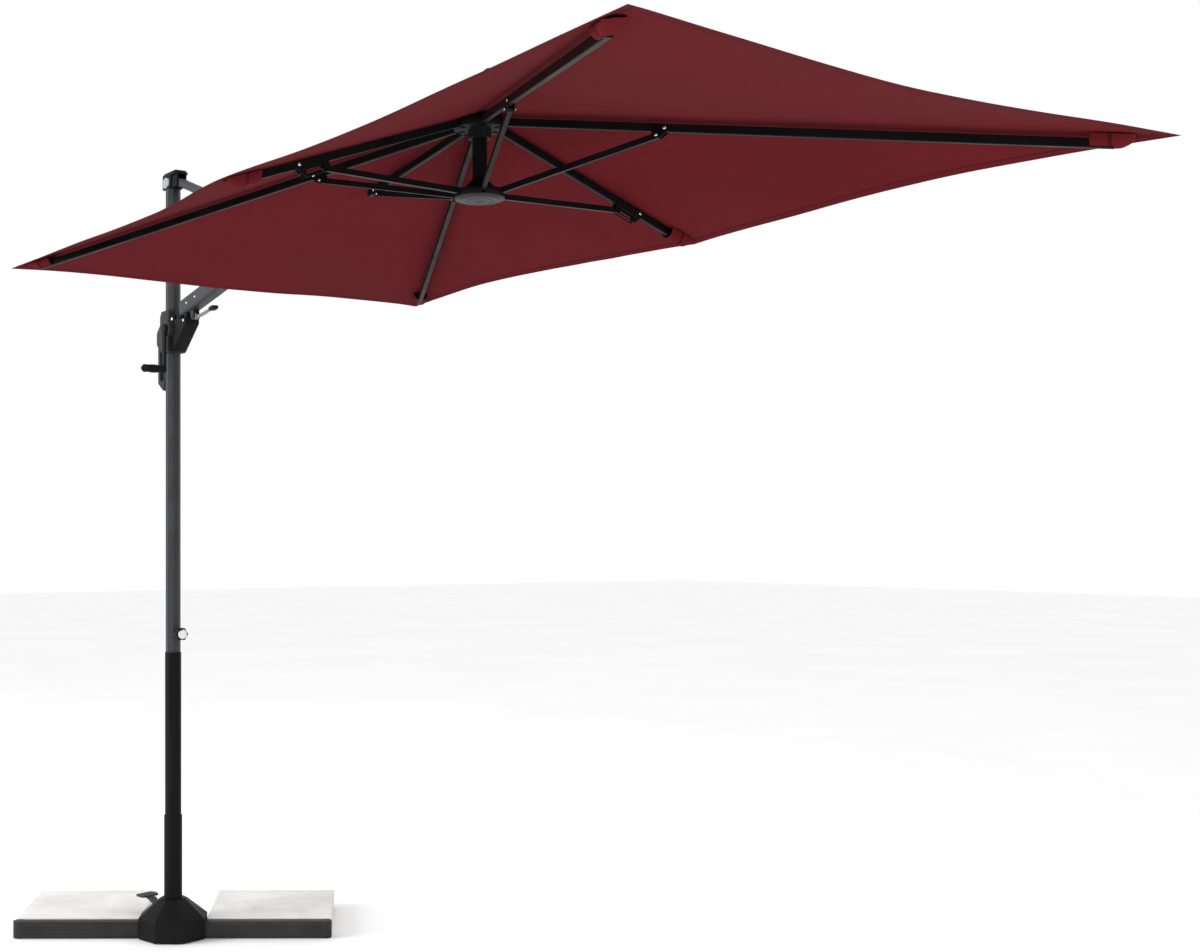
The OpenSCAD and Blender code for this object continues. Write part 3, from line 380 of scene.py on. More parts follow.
def finish(name):
    """The named finish, made once."""
    if name in FINISHES:
        return FINISHES[name]
    c = colours()
    made = {
        "canopy": lambda: woven_cloth("canopy cloth", c.canopy),
        "anthracite": lambda: powder_coat("anthracite coat", c.anthracite, 0.42, 0.4, 0.13),
        "black_coat": lambda: powder_coat("black coat", c.black_coat, 0.38, 0.3),
        "joint": lambda: powder_coat("black casting", [v * 1.25 for v in c.black_coat], 0.5, 0.4),
        "plastic": lambda: moulded("black moulding", c.black_plastic, 0.5),
        "shell": lambda: moulded("slider moulding", [v * 4.4 for v in c.black_plastic], 0.52),
        # Grey moulding of the hub disc: its own grey, darkened as painted shade.
        "disc": lambda: moulded("grey moulding with painted shade", c.painted_shade_grey_plastic, 0.45, 1100.0),
        "nylon": lambda: moulded("drum nylon", (0.30, 0.30, 0.29), 0.5),
        "bar": lambda: powder_coat("bar coat", c.bar_grey, 0.46, 0.3),
        "pedal": lambda: powder_coat("pedal coat", [v * 1.7 for v in c.bar_grey], 0.5, 0.8),
        "slab": lambda: cast_concrete("cast concrete", c.concrete),
        "rubber": lambda: soft_rubber("foot rubber"),
        "lever": lambda: brushed("brushed lever", (0.22, 0.22, 0.23), 0.36),
        "bright": lambda: bright_steel("bright steel"),
        "cover": lambda: moulded("pale grey moulding with painted shade", (0.30, 0.31, 0.32), 0.42),
    }[name]()
    FINISHES[name] = made
    return made


# ---- modelling helpers ----


def clear_selection():
    """Leaves edit mode and selects nothing."""
    if bpy.context.mode != "OBJECT":
        bpy.ops.object.mode_set(mode="OBJECT")
    bpy.ops.object.select_all(action="DESELECT")


def pick(obj):
    """Makes the piece the only selected and active one."""
    clear_selection()
    obj.select_set(True)
    bpy.context.view_layer.objects.active = obj


def edit(obj):
    """Opens the piece in edit mode, all selected."""
    pick(obj)
    bpy.ops.object.mode_set(mode="EDIT")
    bpy.ops.mesh.select_all(action="SELECT")


def apply(obj, kind, **values):
    """Adds a modifier to the piece and applies it."""
    modifier = obj.modifiers.new(kind.title(), kind)
    for key, value in values.items():
        setattr(modifier, key, value)
    pick(obj)
    bpy.ops.object.modifier_apply(modifier=modifier.name)


def round_edges(obj, width, segments=3, angle=30.0):
    """Rounds every edge that is sharper than the angle in degrees."""
    apply(obj, "BEVEL", width=width, segments=segments, limit_method="ANGLE",
          angle_limit=math.radians(angle), use_clamp_overlap=True)


def draw_line(name, points, closed=False):
    """A new mesh whose edges run through the points, drawn by extruding one vertex."""
    clear_selection()
    bpy.ops.mesh.primitive_plane_add(size=0.01, location=(0, 0, 0))
    obj = bpy.context.object
    obj.name = name
    bpy.ops.object.mode_set(mode="EDIT")
    bpy.ops.mesh.select_all(action="SELECT")
    bpy.ops.mesh.merge(type="CENTER")
    bpy.ops.transform.translate(value=points[0])
    for a, b in zip(points, points[1:]):
        step = Vector(b) - Vector(a)
        bpy.ops.mesh.extrude_region_move(TRANSFORM_OT_translate={"value": step})
    if closed:
        bpy.ops.mesh.select_all(action="SELECT")
        bpy.ops.mesh.edge_face_add()
    bpy.ops.object.mode_set(mode="OBJECT")
    return obj


def lathe(name, profile, steps=48):
    """A body turned about Z from (radius, height) points. It closes where they meet the axis."""
    obj = draw_line(name, [(r, 0.0, h) for r, h in profile])
    edit(obj)
    bpy.ops.mesh.spin(steps=steps, angle=2 * math.pi, center=(0, 0, 0), axis=(0, 0, 1))
    bpy.ops.mesh.select_all(action="SELECT")
    bpy.ops.mesh.remove_doubles(threshold=DOUBLES)
    bpy.ops.mesh.normals_make_consistent(inside=False)
    bpy.ops.object.mode_set(mode="OBJECT")
    return obj


def slab_of(name, outline, thickness):
    """A plate in the XZ plane, centred on Y, from (x, z) outline points."""
    obj = draw_line(name, [(x, -thickness / 2, z) for x, z in outline], closed=True)
    edit(obj)
    bpy.ops.mesh.extrude_region_move(TRANSFORM_OT_translate={"value": (0, thickness, 0)})
    bpy.ops.mesh.select_all(action="SELECT")
    bpy.ops.mesh.normals_make_consistent(inside=False)
    bpy.ops.object.mode_set(mode="OBJECT")
    return obj


def put(obj, matrix):
    """Moves the piece and writes its place into its mesh."""
    obj.matrix_world = matrix @ obj.matrix_world
    pick(obj)
    bpy.ops.object.transform_apply(location=True, rotation=True, scale=True)
    return obj


def along(direction, point=(0, 0, 0)):
    """Turns Z to the direction and moves the origin to the point."""
    turn = Vector(direction).to_track_quat("Z", "Y").to_matrix().to_4x4()
    return Matrix.Translation(point) @ turn


def merge(name, objs):
    """Joins the objects into the first one."""
    clear_selection()
    for o in objs:
        o.select_set(True)
    bpy.context.view_layer.objects.active = objs[0]
    bpy.ops.object.join()
    objs[0].name = name
    return objs[0]


def cut(obj, tool, operation="DIFFERENCE"):
    """Cuts the piece with the tool, or adds it, and removes the tool."""
    apply(obj, "BOOLEAN", object=tool, operation=operation, solver="EXACT")
    bpy.data.objects.remove(tool)


def done(obj, body, look, replaced=()):
    """Smooths the piece, gives it its finish and hangs it on its body."""
    pick(obj)
    bpy.ops.object.shade_smooth_by_angle(angle=math.radians(SMOOTH_ANGLE))
    obj.data.materials.clear()
    obj.data.materials.append(finish(look))
    if replaced:
        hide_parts(*replaced)
    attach(obj, body)


def softened(node, width, body, look, segments=2, angle=28.0):
    """Adds a copy of a CAD part with its edges rounded."""
    source = NODES[node]
    obj = bpy.data.objects.new(node + "_finished", source.data.copy())
    bpy.context.scene.collection.objects.link(obj)
    edit(obj)
    bpy.ops.mesh.remove_doubles(threshold=DOUBLES)
    bpy.ops.mesh.dissolve_limited(angle_limit=math.radians(0.6))
    bpy.ops.object.mode_set(mode="OBJECT")
    round_edges(obj, width, segments, angle)
    done(obj, body, look, [node])


def rib_frame(name):
    """Matrix of a rib: X along it from its pin, Y across it, Z up through it."""
    azimuth = AZIMUTH[name]
    slope = MID_SLOPE if name.startswith("mid") else CORNER_SLOPE
    return (Matrix.Translation(JOINTS[FOLD[name]]["pos_m"]) @ Matrix.Rotation(azimuth, 4, "Z")
            @ Matrix.Rotation(slope, 4, "Y"))


def boom_frame(u):
    """Matrix of a point along the boom: X along its axis, Z square to it."""
    return (Matrix.Translation(JOINTS["side_tilt"]["pos_m"]) @ Matrix.Rotation(-BOOM_SLOPE, 4, "Y")
            @ Matrix.Translation((u, 0, 0)))


def dome(name, radius, height):
    """A rivet head standing on the XY plane."""
    profile = ((0, 0), (1, 0), (1, 0.25), (0.8, 0.72), (0.45, 0.95), (0, 1))
    return lathe(name, [(radius * r, height * h) for r, h in profile], 20)


def head_pair(radius, height, place, at, out):
    """Two rivet or bolt heads on a part's left and right faces, at a point of its frame."""
    return [put(dome("head", radius, height),
                place @ along((0, side, 0), (at[0], side * out, at[1]))) for side in (-1, 1)]


# ---- canopy ----


def corner_half(azimuth):
    """Signed distance in azimuth from the nearest of the six full ribs."""
    turns = ((azimuth - AZIMUTH[n] + math.pi) % (2 * math.pi) - math.pi for n in PANELS)
    return min(turns, key=abs)


def edge_distance(x, y):
    """How far a plan point lies inside the fabric's curved edge."""
    s = sizes()
    side = abs(y) / EDGE_Y
    share = min(1.0, abs(x) / EDGE_X)
    reach_x = EDGE_X - s.edge_curve_short * max(0.0, 1 - side ** 2)
    bow = 4 * share * (1 - share)
    reach_y = EDGE_Y - s.edge_curve_long * bow - SCALLOP * bow ** 2
    return min(reach_x - abs(x), reach_y - abs(y))


def rim_radius(azimuth):
    """Radius of the fabric's edge, found by halving."""
    low, high = 0.3, 1.8
    for _ in range(40):
        middle = (low + high) / 2
        if edge_distance(middle * math.cos(azimuth), middle * math.sin(azimuth)) > 0:
            low = middle
        else:
            high = middle
    return low


def fabric_height(x, y):
    """Height of the cloth over a plan point, counted from the hub axis."""
    s = sizes()
    azimuth, radius = math.atan2(y, x), math.hypot(x, y)
    ridge = APEX_Z - max(LONG_FALL * abs(y), SHORT_FALL * abs(x))
    ribs = sorted(AZIMUTH[n] % (2 * math.pi) for n in PANELS)
    a = azimuth % (2 * math.pi)
    below = max([r for r in ribs if r <= a + 1e-9], default=ribs[-1] - 2 * math.pi)
    above = min([r for r in ribs if r > a + 1e-9], default=ribs[0] + 2 * math.pi)
    share = (a - below) / (above - below)
    out = min(1.0, radius / FULL_SAG_RADIUS)
    off_rib = radius * abs(math.sin(corner_half(azimuth)))
    clear = min(1.0, max(0.0, (off_rib - RIB_FLAT) / RIB_BLEND))
    clear = clear * clear * (3 - 2 * clear)
    sag = s.fabric_sag * math.sin(math.pi * share) ** 2 * out ** 1.2
    if x < 0 and radius < SHORT_RIB_RADIUS:
        sag *= min(1.0, (abs(y) / SHORT_RIB_WIDTH) ** 2)
    gather = math.exp(-((radius - GATHER_START) / GATHER_FADE)) * (1.0 if x < 0 else FAR_GATHER)
    wander = 5 * math.sin(7 * radius + 2 * y)
    folds = math.sin(23 * azimuth + wander) * math.sin(2 * azimuth + 9 * radius)
    lift = s.gather_height * gather * (folds + 0.75)
    drift = DRIFT * noise.noise(Vector((x * 4.1, y * 4.7, 0.3))) * out
    return ridge + (lift + drift - sag) * clear


def cloth_start(name):
    """An empty piece, its mesh under construction, and the mesh's hem and seam distances."""
    obj = bpy.data.objects.new(name, bpy.data.meshes.new(name))
    bpy.context.scene.collection.objects.link(obj)
    bm = bmesh.new()
    return obj, bm, bm.verts.layers.float.new("hem"), bm.verts.layers.float.new("seam")


def sheet_faces(bm, grid, up):
    """Joins a grid of vertices with smooth faces that point up or down, mapped in metres."""
    uv = bm.loops.layers.uv.new("cloth")
    for left, right in zip(grid, grid[1:]):
        for j in range(len(left) - 1):
            face = bm.faces.new((left[j], left[j + 1], right[j + 1], right[j]))
            face.smooth = True
            for loop in face.loops:
                loop[uv].uv = (loop.vert.co.x, loop.vert.co.y)
    bmesh.ops.recalc_face_normals(bm, faces=bm.faces)
    bm.faces.ensure_lookup_table()
    if (bm.faces[0].normal.z > 0) != up:
        bmesh.ops.reverse_faces(bm, faces=bm.faces)


def cloth_panel(name, start, end, inner, columns, rows, lift=0.0, outer=None):
    """A sheet between two azimuths, from the inner radius to the outer one or the cloth's edge.

    The rib lines fall on columns of the sheet and stay sharp. Returns the sheet and its area.
    """
    obj, bm, hem, seam = cloth_start(name)
    grid = []
    turns = [start + (end - start) * i / columns for i in range(columns + 1)]
    for n in PANELS:
        for turned in (AZIMUTH[n], AZIMUTH[n] - 2 * math.pi):
            if start < turned < end:
                nearest = min(range(columns + 1), key=lambda i: abs(turns[i] - turned))
                turns[nearest] = turned
    for turn in turns:
        rim = rim_radius(turn) if outer is None else outer
        line = []
        for j in range(rows + 1):
            share = 1 - (1 - j / rows) ** 1.15
            radius = inner + (rim - inner) * share
            x, y = radius * math.cos(turn), radius * math.sin(turn)
            vert = bm.verts.new((HUB_X + x, y, fabric_height(x, y) + lift))
            vert[hem] = max(0.0, edge_distance(x, y) if outer is None else outer - radius)
            vert[seam] = radius * abs(math.sin(corner_half(turn)))
            line.append(vert)
        grid.append(line)
    sheet_faces(bm, grid, up=True)
    for line, turn in zip(grid, turns):
        if abs(corner_half(turn)) < 1e-7:
            for a, b in zip(line, line[1:]):
                bm.edges.get((a, b)).smooth = False
    area = sum(face.calc_area() for face in bm.faces)
    bm.to_mesh(obj.data)
    bm.free()
    return obj, area


def thicken(obj, thickness):
    """Gives the cloth its thickness and keeps its rim crisp, so panels meet unseen."""
    apply(obj, "SOLIDIFY", thickness=thickness, offset=1.0, use_even_offset=False)
    bm = bmesh.new()
    bm.from_mesh(obj.data)
    for line in bm.edges:
        if line.calc_face_angle(0.0) > 1.0:
            line.smooth = False
    bm.to_mesh(obj.data)
    bm.free()


class PARASOL_OT_canopy(bpy.types.Operator):
    """Six sewn canopy panels, one on each full rib, that meet in one continuous sheet"""
    bl_idname = "parasol.canopy"
    bl_label = "Canopy"

    def execute(self, context):
        split = math.atan2(TIP_Y, TIP_X / 2)
        spans = {
            "far_left": (0.0, split), "mid_left": (split, math.pi - split),
            "near_left": (math.pi - split, math.pi), "near_right": (math.pi, math.pi + split),
            "mid_right": (math.pi + split, 2 * math.pi - split),
            "far_right": (2 * math.pi - split, 2 * math.pi),
        }
        for name in PANELS:
            start, end = spans[name]
            panel, area = cloth_panel("canopy_" + name, start, end,
                                      PANEL_INNER, PANEL_COLUMNS, PANEL_ROWS)
            thicken(panel, sizes().fabric_thickness)
            panel.data.materials.append(finish("canopy"))
            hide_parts("fabric_" + name)
            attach(panel, "rib_" + name)
            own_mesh(panel)
        return {"FINISHED"}


class PARASOL_OT_apex_cap(bpy.types.Operator):
    """Fabric cap that covers the middle of the canopy round the stem"""
    bl_idname = "parasol.apex_cap"
    bl_label = "Apex cap"

    def execute(self, context):
        cap, area = cloth_panel("apex_cap", 0.0, 2 * math.pi, CAP_INNER,
                                CAP_COLUMNS, CAP_ROWS, CAP_LIFT, CAP_OUTER)
        edit(cap)
        bpy.ops.mesh.remove_doubles(threshold=DOUBLES)
        bpy.ops.object.mode_set(mode="OBJECT")
        thicken(cap, sizes().fabric_thickness)
        cap.data.materials.append(finish("canopy"))
        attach(cap, "boom")
        return {"FINISHED"}


class PARASOL_OT_tip_pockets(bpy.types.Operator):
    """Sewn pockets under the canopy that the rib tips sit in"""
    bl_idname = "parasol.tip_pockets"
    bl_label = "Tip pockets"

    HALF_WIDTH, DEPTH = 0.0225, 0.0245
    COLUMNS = 16
    NOSE = ((0.0, 1.0), (0.008, 0.96), (0.018, 0.72), (0.027, 0.42), (0.034, 0.14))
    UNDER_CLOTH = 0.0012

    def execute(self, context):
        back = sizes().pocket_length
        steps = [(-back, 1.0), (-back * 0.66, 1.0), (-back * 0.33, 1.0), *self.NOSE]
        for name in PANELS:
            matrix = rib_frame(name)
            middle = name.startswith("mid")
            reach = TIP_Y if middle else CORNER_REACH
            tip = (reach - PIN_RADIUS) / math.cos(MID_SLOPE if middle else CORNER_SLOPE)
            pocket, bm, hem, seam = cloth_start("tip_pocket_" + name)
            grid = []
            for u, share in steps:
                line = []
                half = self.HALF_WIDTH * (0.75 + 0.25 * share)
                for i in range(self.COLUMNS + 1):
                    q = 2 * i / self.COLUMNS - 1
                    flat = matrix @ Vector((tip + u, q * half, 0.0))
                    top = fabric_height(flat.x - HUB_X, flat.y) - self.UNDER_CLOTH
                    drop = self.DEPTH * share * max(0.0, 1 - q * q) ** 0.55
                    vert = bm.verts.new((flat.x, flat.y, top - drop))
                    vert[hem] = 0.004 + (u + back) * 0.4
                    vert[seam] = 0.02 + abs(q) * 0.01
                    line.append(vert)
                grid.append(line)
            sheet_faces(bm, grid, up=False)
            bm.to_mesh(pocket.data)
            bm.free()
            apply(pocket, "SOLIDIFY", thickness=0.0008, offset=1.0)
            apply(pocket, "SUBSURF", levels=1, render_levels=1)
            pocket.data.materials.append(finish("canopy"))
            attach(pocket, "rib_" + name)
        return {"FINISHED"}


# ---- canopy frame and hub ----


class PARASOL_OT_hub(bpy.types.Operator):
    """Crown, runner and the ringed disc under it"""
    bl_idname = "parasol.hub"
    bl_label = "Hub"

    RINGS = ((0.0, 0.0012), (0.16, 0.0012), (0.18, 0.0), (0.50, 0.0003), (0.52, 0.0016),
             (0.56, 0.0016), (0.58, 0.0005), (0.80, 0.0012), (0.82, 0.0026), (0.86, 0.0027),
             (0.88, 0.0017), (0.955, 0.003), (0.99, 0.0048), (1.0, 0.0065))
    RIM_CHAMFER = 0.0006

    def execute(self, context):
        softened("crown", 0.0008, "boom", "plastic")
        softened("runner", 0.0008, "runner", "plastic")
        low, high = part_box("runner_disc")
        radius, tall = (high.x - low.x) / 2, high.z - low.z
        profile = [(radius * share, height) for share, height in self.RINGS]
        edge = self.RIM_CHAMFER
        profile += [(radius, tall - edge), (radius - edge, tall), (0, tall)]
        disc = put(lathe("hub_disc", profile, 72), Matrix.Translation((HUB_X, 0, low.z)))
        done(disc, "runner", "disc", ["runner_disc"])
        return {"FINISHED"}


class PARASOL_OT_rib_hardware(bpy.types.Operator):
    """Rib brackets with rounded plate edges and bright rivet heads"""
    bl_idname = "parasol.rib_hardware"
    bl_label = "Rib brackets and rivets"

    SLOT_TRAVEL, SLOT_BACK, SLOT_DROP = 0.047, 0.016, 0.004
    RIVET_PAST = 0.016
    RIB_RIVET, STRUT_RIVET, RIVET_HEIGHT = 0.0042, 0.0038, 0.0018
    BRACKET_FACE, STRUT_FACE = 0.0092, 0.0115

    def execute(self, context):
        for name in RIBS:
            softened("bracket_" + name, 0.0004, "rib_" + name, "black_coat", 1)
            middle = name.startswith("mid")
            end = (self.slot_start() + self.SLOT_TRAVEL) if middle else BRACKET_U
            heads = head_pair(self.RIB_RIVET, self.RIVET_HEIGHT, rib_frame(name),
                              (end + self.RIVET_PAST, 0.0), self.BRACKET_FACE)
            if not middle:
                heads += head_pair(self.STRUT_RIVET, self.RIVET_HEIGHT, rib_frame(name),
                                   (BRACKET_U, -STRUT_DROP), self.STRUT_FACE)
            done(merge("rivets_" + name, heads), "rib_" + name, "bright")
        return {"FINISHED"}

    def slot_start(self):
        """Where the slot of a middle rib's bracket starts, along the rib from its pin."""
        link_slope = CORNER_SLOPE + math.asin(STRUT_DROP / LINK_LENGTH)
        out = LINK_LENGTH * math.cos(link_slope) - self.SLOT_BACK
        return (out + (STRUT_DROP + self.SLOT_DROP) * math.sin(MID_SLOPE)) / math.cos(MID_SLOPE)


# ---- boom and stay ----


class PARASOL_OT_boom_fittings(bpy.types.Operator):
    """Saddle, boom root, mast head and their bolt heads"""
    bl_idname = "parasol.boom_fittings"
    bl_label = "Boom fittings"

    BOLTS_ALONG, BOLT_RADIUS, BOLT_HEIGHT = (0.150, 0.212), 0.0038, 0.0020

    def execute(self, context):
        softened("saddle", 0.0012, "carrier", "joint")
        softened("root_hinge", 0.0015, "carrier", "joint")
        softened("mast_head", 0.0022, "mast", "joint")
        half_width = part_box("carrier_tube")[1].y
        heads = []
        for u in self.BOLTS_ALONG:
            heads += head_pair(self.BOLT_RADIUS, self.BOLT_HEIGHT, boom_frame(u), (0, 0),
                               half_width)
        done(merge("boom_bolts", heads), "carrier", "bright")
        return {"FINISHED"}


class PARASOL_OT_lever(bpy.types.Operator):
    """Brushed clamp lever with a black moulded end"""
    bl_idname = "parasol.lever"
    bl_label = "Clamp lever"

    DROOP = math.radians(5.5)
    EYE_RADIUS, HOLE_RADIUS, HOLE_REACH = 0.0085, 0.00405, 0.02
    BLADE_WIDTH, END_WIDTH = 0.0136, 0.0195
    BLADE = ((0.014, -0.0055), (0.030, -0.0068), (0.060, -0.0062), (0.090, -0.0040),
             (0.120, -0.0030), (0.120, 0.0014), (0.090, 0.0012), (0.060, -0.0006),
             (0.030, -0.0008), (0.014, 0.0060))
    END = ((0.112, -0.0070), (0.132, -0.0076), (0.143, -0.0058), (0.1455, -0.001),
           (0.143, 0.0040), (0.132, 0.0054), (0.112, 0.0044))

    def execute(self, context):
        pivot = JOINTS["clamp_lever_pull"]["pos_m"]
        place = Matrix.Translation(pivot) @ Matrix.Rotation(-BOOM_SLOPE + self.DROOP, 4, "Y")
        eye = [math.radians(a) for a in range(90, 271, 20)]
        outline = [(self.EYE_RADIUS * math.cos(a), self.EYE_RADIUS * math.sin(a)) for a in eye]
        blade = slab_of("lever_blade", outline + list(self.BLADE), self.BLADE_WIDTH)
        hole = lathe("hole", [(0, -self.HOLE_REACH), (self.HOLE_RADIUS, -self.HOLE_REACH),
                              (self.HOLE_RADIUS, self.HOLE_REACH), (0, self.HOLE_REACH)], 32)
        cut(blade, put(hole, along((0, 1, 0))))
        round_edges(blade, 0.0012, 2)
        done(put(blade, place), "lever", "lever", ["clamp_lever"])
        end = slab_of("lever_end", self.END, self.END_WIDTH)
        round_edges(end, 0.0028, 4)
        done(put(end, place), "lever", "plastic")
        return {"FINISHED"}


# ---- mast ----


class PARASOL_OT_mast(bpy.types.Operator):
    """Octagonal upper mast with rolled edges, its end cap and the pale plates on its head"""
    bl_idname = "parasol.mast"
    bl_label = "Mast"

    PLATE_RADIUS, PLATE_THICKNESS, PLATE_STRETCH = 0.0180, 0.003, 1.65
    PLATE_BACK, PLATE_RISE, PLATE_OUT = 0.052, 0.002, 0.0006

    def execute(self, context):
        softened("upper_mast", 0.0022, "mast", "anthracite", 3, 40.0)
        softened("mast_cap", 0.0028, "mast", "plastic", 3)
        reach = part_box("mast_head")[1].y + self.PLATE_OUT
        x, _, z = JOINTS["boom_tilt"]["pos_m"]
        for side, word in ((-1, "right"), (1, "left")):
            clear_selection()
            bpy.ops.mesh.primitive_cylinder_add(vertices=6, radius=self.PLATE_RADIUS,
                                                depth=self.PLATE_THICKNESS)
            plate = context.object
            plate.name = "head_plate_" + word
            put(plate, Matrix.Diagonal((self.PLATE_STRETCH, 1.0, 1.0, 1.0)))
            round_edges(plate, 0.0010, 3)
            centre = (x - self.PLATE_BACK, side * reach, z + self.PLATE_RISE)
            done(put(plate, along((0, side, 0), centre)), "mast", "cover")
        return {"FINISHED"}


class PARASOL_OT_knob(bpy.types.Operator):
    """Six-lobed clamp knob with a plated rim"""
    bl_idname = "parasol.knob"
    bl_label = "Clamp knob"

    LOBES, LOBE_HEIGHT, OUTLINE_POINTS = 6, 0.07, 72
    KNOB_WIDTH, KNOB_BACK, RIM_BACK, STEM_GAP = 0.024, 0.0165, 0.0037, 0.0002
    STEM = ((0, 0), (0.004, 0), (0.004, 0.006), (0.009, 0.0062), (0.0095, 0.012),
            (0.0088, 0.028), (0.0115, 0.032), (0, 0.032))
    RIM = ((0, 0.0015), (0.0125, 0.0015), (0.0128, 0.0), (0.0152, 0.0), (0.0155, 0.0022),
           (0.0132, 0.0034), (0.0128, 0.0026), (0, 0.0024))

    def execute(self, context):
        low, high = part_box("clamp_knob")
        height = JOINTS["clamp_knob_turn"]["pos_m"][2]
        radius = (high.z - low.z) / 2
        outline = []
        for i in range(self.OUTLINE_POINTS):
            a = 2 * math.pi * i / self.OUTLINE_POINTS
            r = radius * (1 - self.LOBE_HEIGHT + self.LOBE_HEIGHT * math.cos(self.LOBES * a))
            outline.append((r * math.cos(a), r * math.sin(a)))
        body = slab_of("knob", outline, self.KNOB_WIDTH)
        round_edges(body, 0.0035, 4, 50.0)
        put(body, Matrix.Rotation(math.radians(90), 4, "Z"))
        put(body, Matrix.Translation((high.x - self.KNOB_BACK, 0, height)))
        stem = lathe("stem", self.STEM, 32)
        put(stem, along((1, 0, 0), (low.x + self.STEM_GAP, 0, height)))
        done(merge("knob", [body, stem]), "knob", "plastic", ["clamp_knob"])
        rim = lathe("knob_rim", self.RIM, 48)
        put(rim, along((1, 0, 0), (high.x - self.RIM_BACK, 0, height)))
        done(rim, "knob", "bright")
        return {"FINISHED"}


# ---- slider and crank ----


class PARASOL_OT_slider(bpy.types.Operator):
    """Slider moulding with its rear hand grip, and the hinge bracket"""
    bl_idname = "parasol.slider"
    bl_label = "Slider"

    POD = ((0, 0), (0.0205, 0), (0.0235, 0.001), (0.0248, 0.004), (0.025, 0.009),
           (0.025, 0.018), (0, 0.018))
    BORE_GAP, BORE_LENGTH = 0.0002, 0.4
    PIVOT_HEAD, BOLT_HEAD, HEAD_HEIGHT = 0.0062, 0.0045, 0.0022
    BOLT_FORWARD, BOLT_DOWN, BOLT_INSET = 0.078, 0.012, 0.003

    def execute(self, context):
        low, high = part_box("slider_shell")
        grip_low, grip_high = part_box("slider_grip")
        top, bottom, rear = high.z, low.z, grip_low.x
        front, back, half_wide = -low.x, low.x, high.y
        shell = slab_of("slider_body", [
            (front, bottom), (front, top), (back + 0.010, top), (back, top - 0.020),
            (back, bottom + 0.012), (back + 0.008, bottom)], 2 * half_wide)
        round_edges(shell, 0.007, 4)
        shoulder = slab_of("shoulder", [
            (back + 0.006, top - 0.008), (-0.050, top - 0.030), (rear + 0.003, top - 0.062),
            (rear + 0.003, bottom + 0.030), (-0.060, bottom + 0.012),
            (back + 0.006, bottom + 0.012)], half_wide * 1.35)
        round_edges(shoulder, 0.009, 4)
        floor = grip_low.z
        handle = slab_of("handle", [
            (back + 0.004, bottom + 0.03), (back - 0.001, floor + 0.02), (back - 0.004, floor),
            (-0.052, floor + 0.002), (rear, floor + 0.026), (rear, bottom + 0.062),
            (-0.060, bottom + 0.075), (back + 0.004, bottom + 0.075)], grip_high.y * 2)
        round_edges(handle, 0.006, 4, 25.0)
        slot = slab_of("slot", [
            (-0.046, floor + 0.032), (-0.062, floor + 0.032), (-0.068, floor + 0.040),
            (-0.068, bottom + 0.018), (-0.062, bottom + 0.024), (-0.046, bottom + 0.024),
            (-0.040, bottom + 0.018), (-0.040, floor + 0.040)], 0.12)
        round_edges(slot, 0.005, 4, 40.0)
        cut(handle, slot)
        cut(shell, shoulder, "UNION")
        cut(shell, handle, "UNION")
        x, _, z = JOINTS["crank_turn"]["pos_m"]
        pod = lathe("pod", self.POD, 64)
        cut(shell, put(pod, along((0, 1, 0), (x, low.y, z))), "UNION")
        low_bore, high_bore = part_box("slider_liners")
        flats = (high_bore.y - low_bore.y) / 2 + self.BORE_GAP
        clear_selection()
        bpy.ops.mesh.primitive_cylinder_add(vertices=8, radius=flats / math.cos(math.pi / 8),
                                            depth=self.BORE_LENGTH)
        middle = Matrix.Translation((0, 0, (top + bottom) / 2))
        cut(shell, put(context.object, middle @ Matrix.Rotation(math.pi / 8, 4, "Z")))
        done(shell, "slider", "shell", ["slider_shell", "slider_grip"])
        softened("slider_bracket", 0.0010, "slider", "joint")
        x, _, z = JOINTS["slider_travel"]["pos_m"]
        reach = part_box("slider_bracket")[1].y
        heads = head_pair(self.PIVOT_HEAD, self.HEAD_HEIGHT, Matrix(), (x, z), reach)
        heads += head_pair(self.BOLT_HEAD, self.HEAD_HEIGHT, Matrix(),
                           (x + self.BOLT_FORWARD, z - self.BOLT_DOWN), reach - self.BOLT_INSET)
        done(merge("slider_bolts", heads), "slider", "bright")
        return {"FINISHED"}


class PARASOL_OT_crank(bpy.types.Operator):
    """Crank arm and its grooved turning grip"""
    bl_idname = "parasol.crank"
    bl_label = "Crank"

    GROOVES, GROOVE_DEPTH, PIN_HOLE = 6, 0.0012, 0.0041
    FIRST_GROOVE, GROOVED_LESS = 0.011, 0.024

    def execute(self, context):
        softened("crank_arm", 0.0012, "crank", "joint")
        low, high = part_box("crank_grip")
        length, radius = high.y - low.y, (high.x - low.x) / 2
        profile = [(self.PIN_HOLE, 0.0), (radius * 0.8, 0.0), (radius * 0.93, 0.0015),
                   (radius * 0.93, 0.008)]
        step = (length - self.GROOVED_LESS) / self.GROOVES
        for i in range(self.GROOVES):
            start = self.FIRST_GROOVE + step * i
            swell = radius * (0.86 + 0.12 * math.sin(math.pi * (i + 0.5) / self.GROOVES))
            groove = swell - self.GROOVE_DEPTH
            profile += [(groove, start), (swell, start + step * 0.25),
                        (swell, start + step * 0.75), (groove, start + step * 0.97)]
        profile += [(radius * 0.96, length - 0.008), (radius * 0.92, length - 0.003),
                    (radius * 0.72, length), (self.PIN_HOLE, length), (self.PIN_HOLE, 0.0)]
        grip = lathe("crank_handle", profile, 48)
        x, _, z = JOINTS["grip_spin"]["pos_m"]
        put(grip, along((0, -1, 0), (x, high.y, z)))
        done(grip, "grip", "plastic", ["crank_grip"])
        return {"FINISHED"}


# ---- base ----


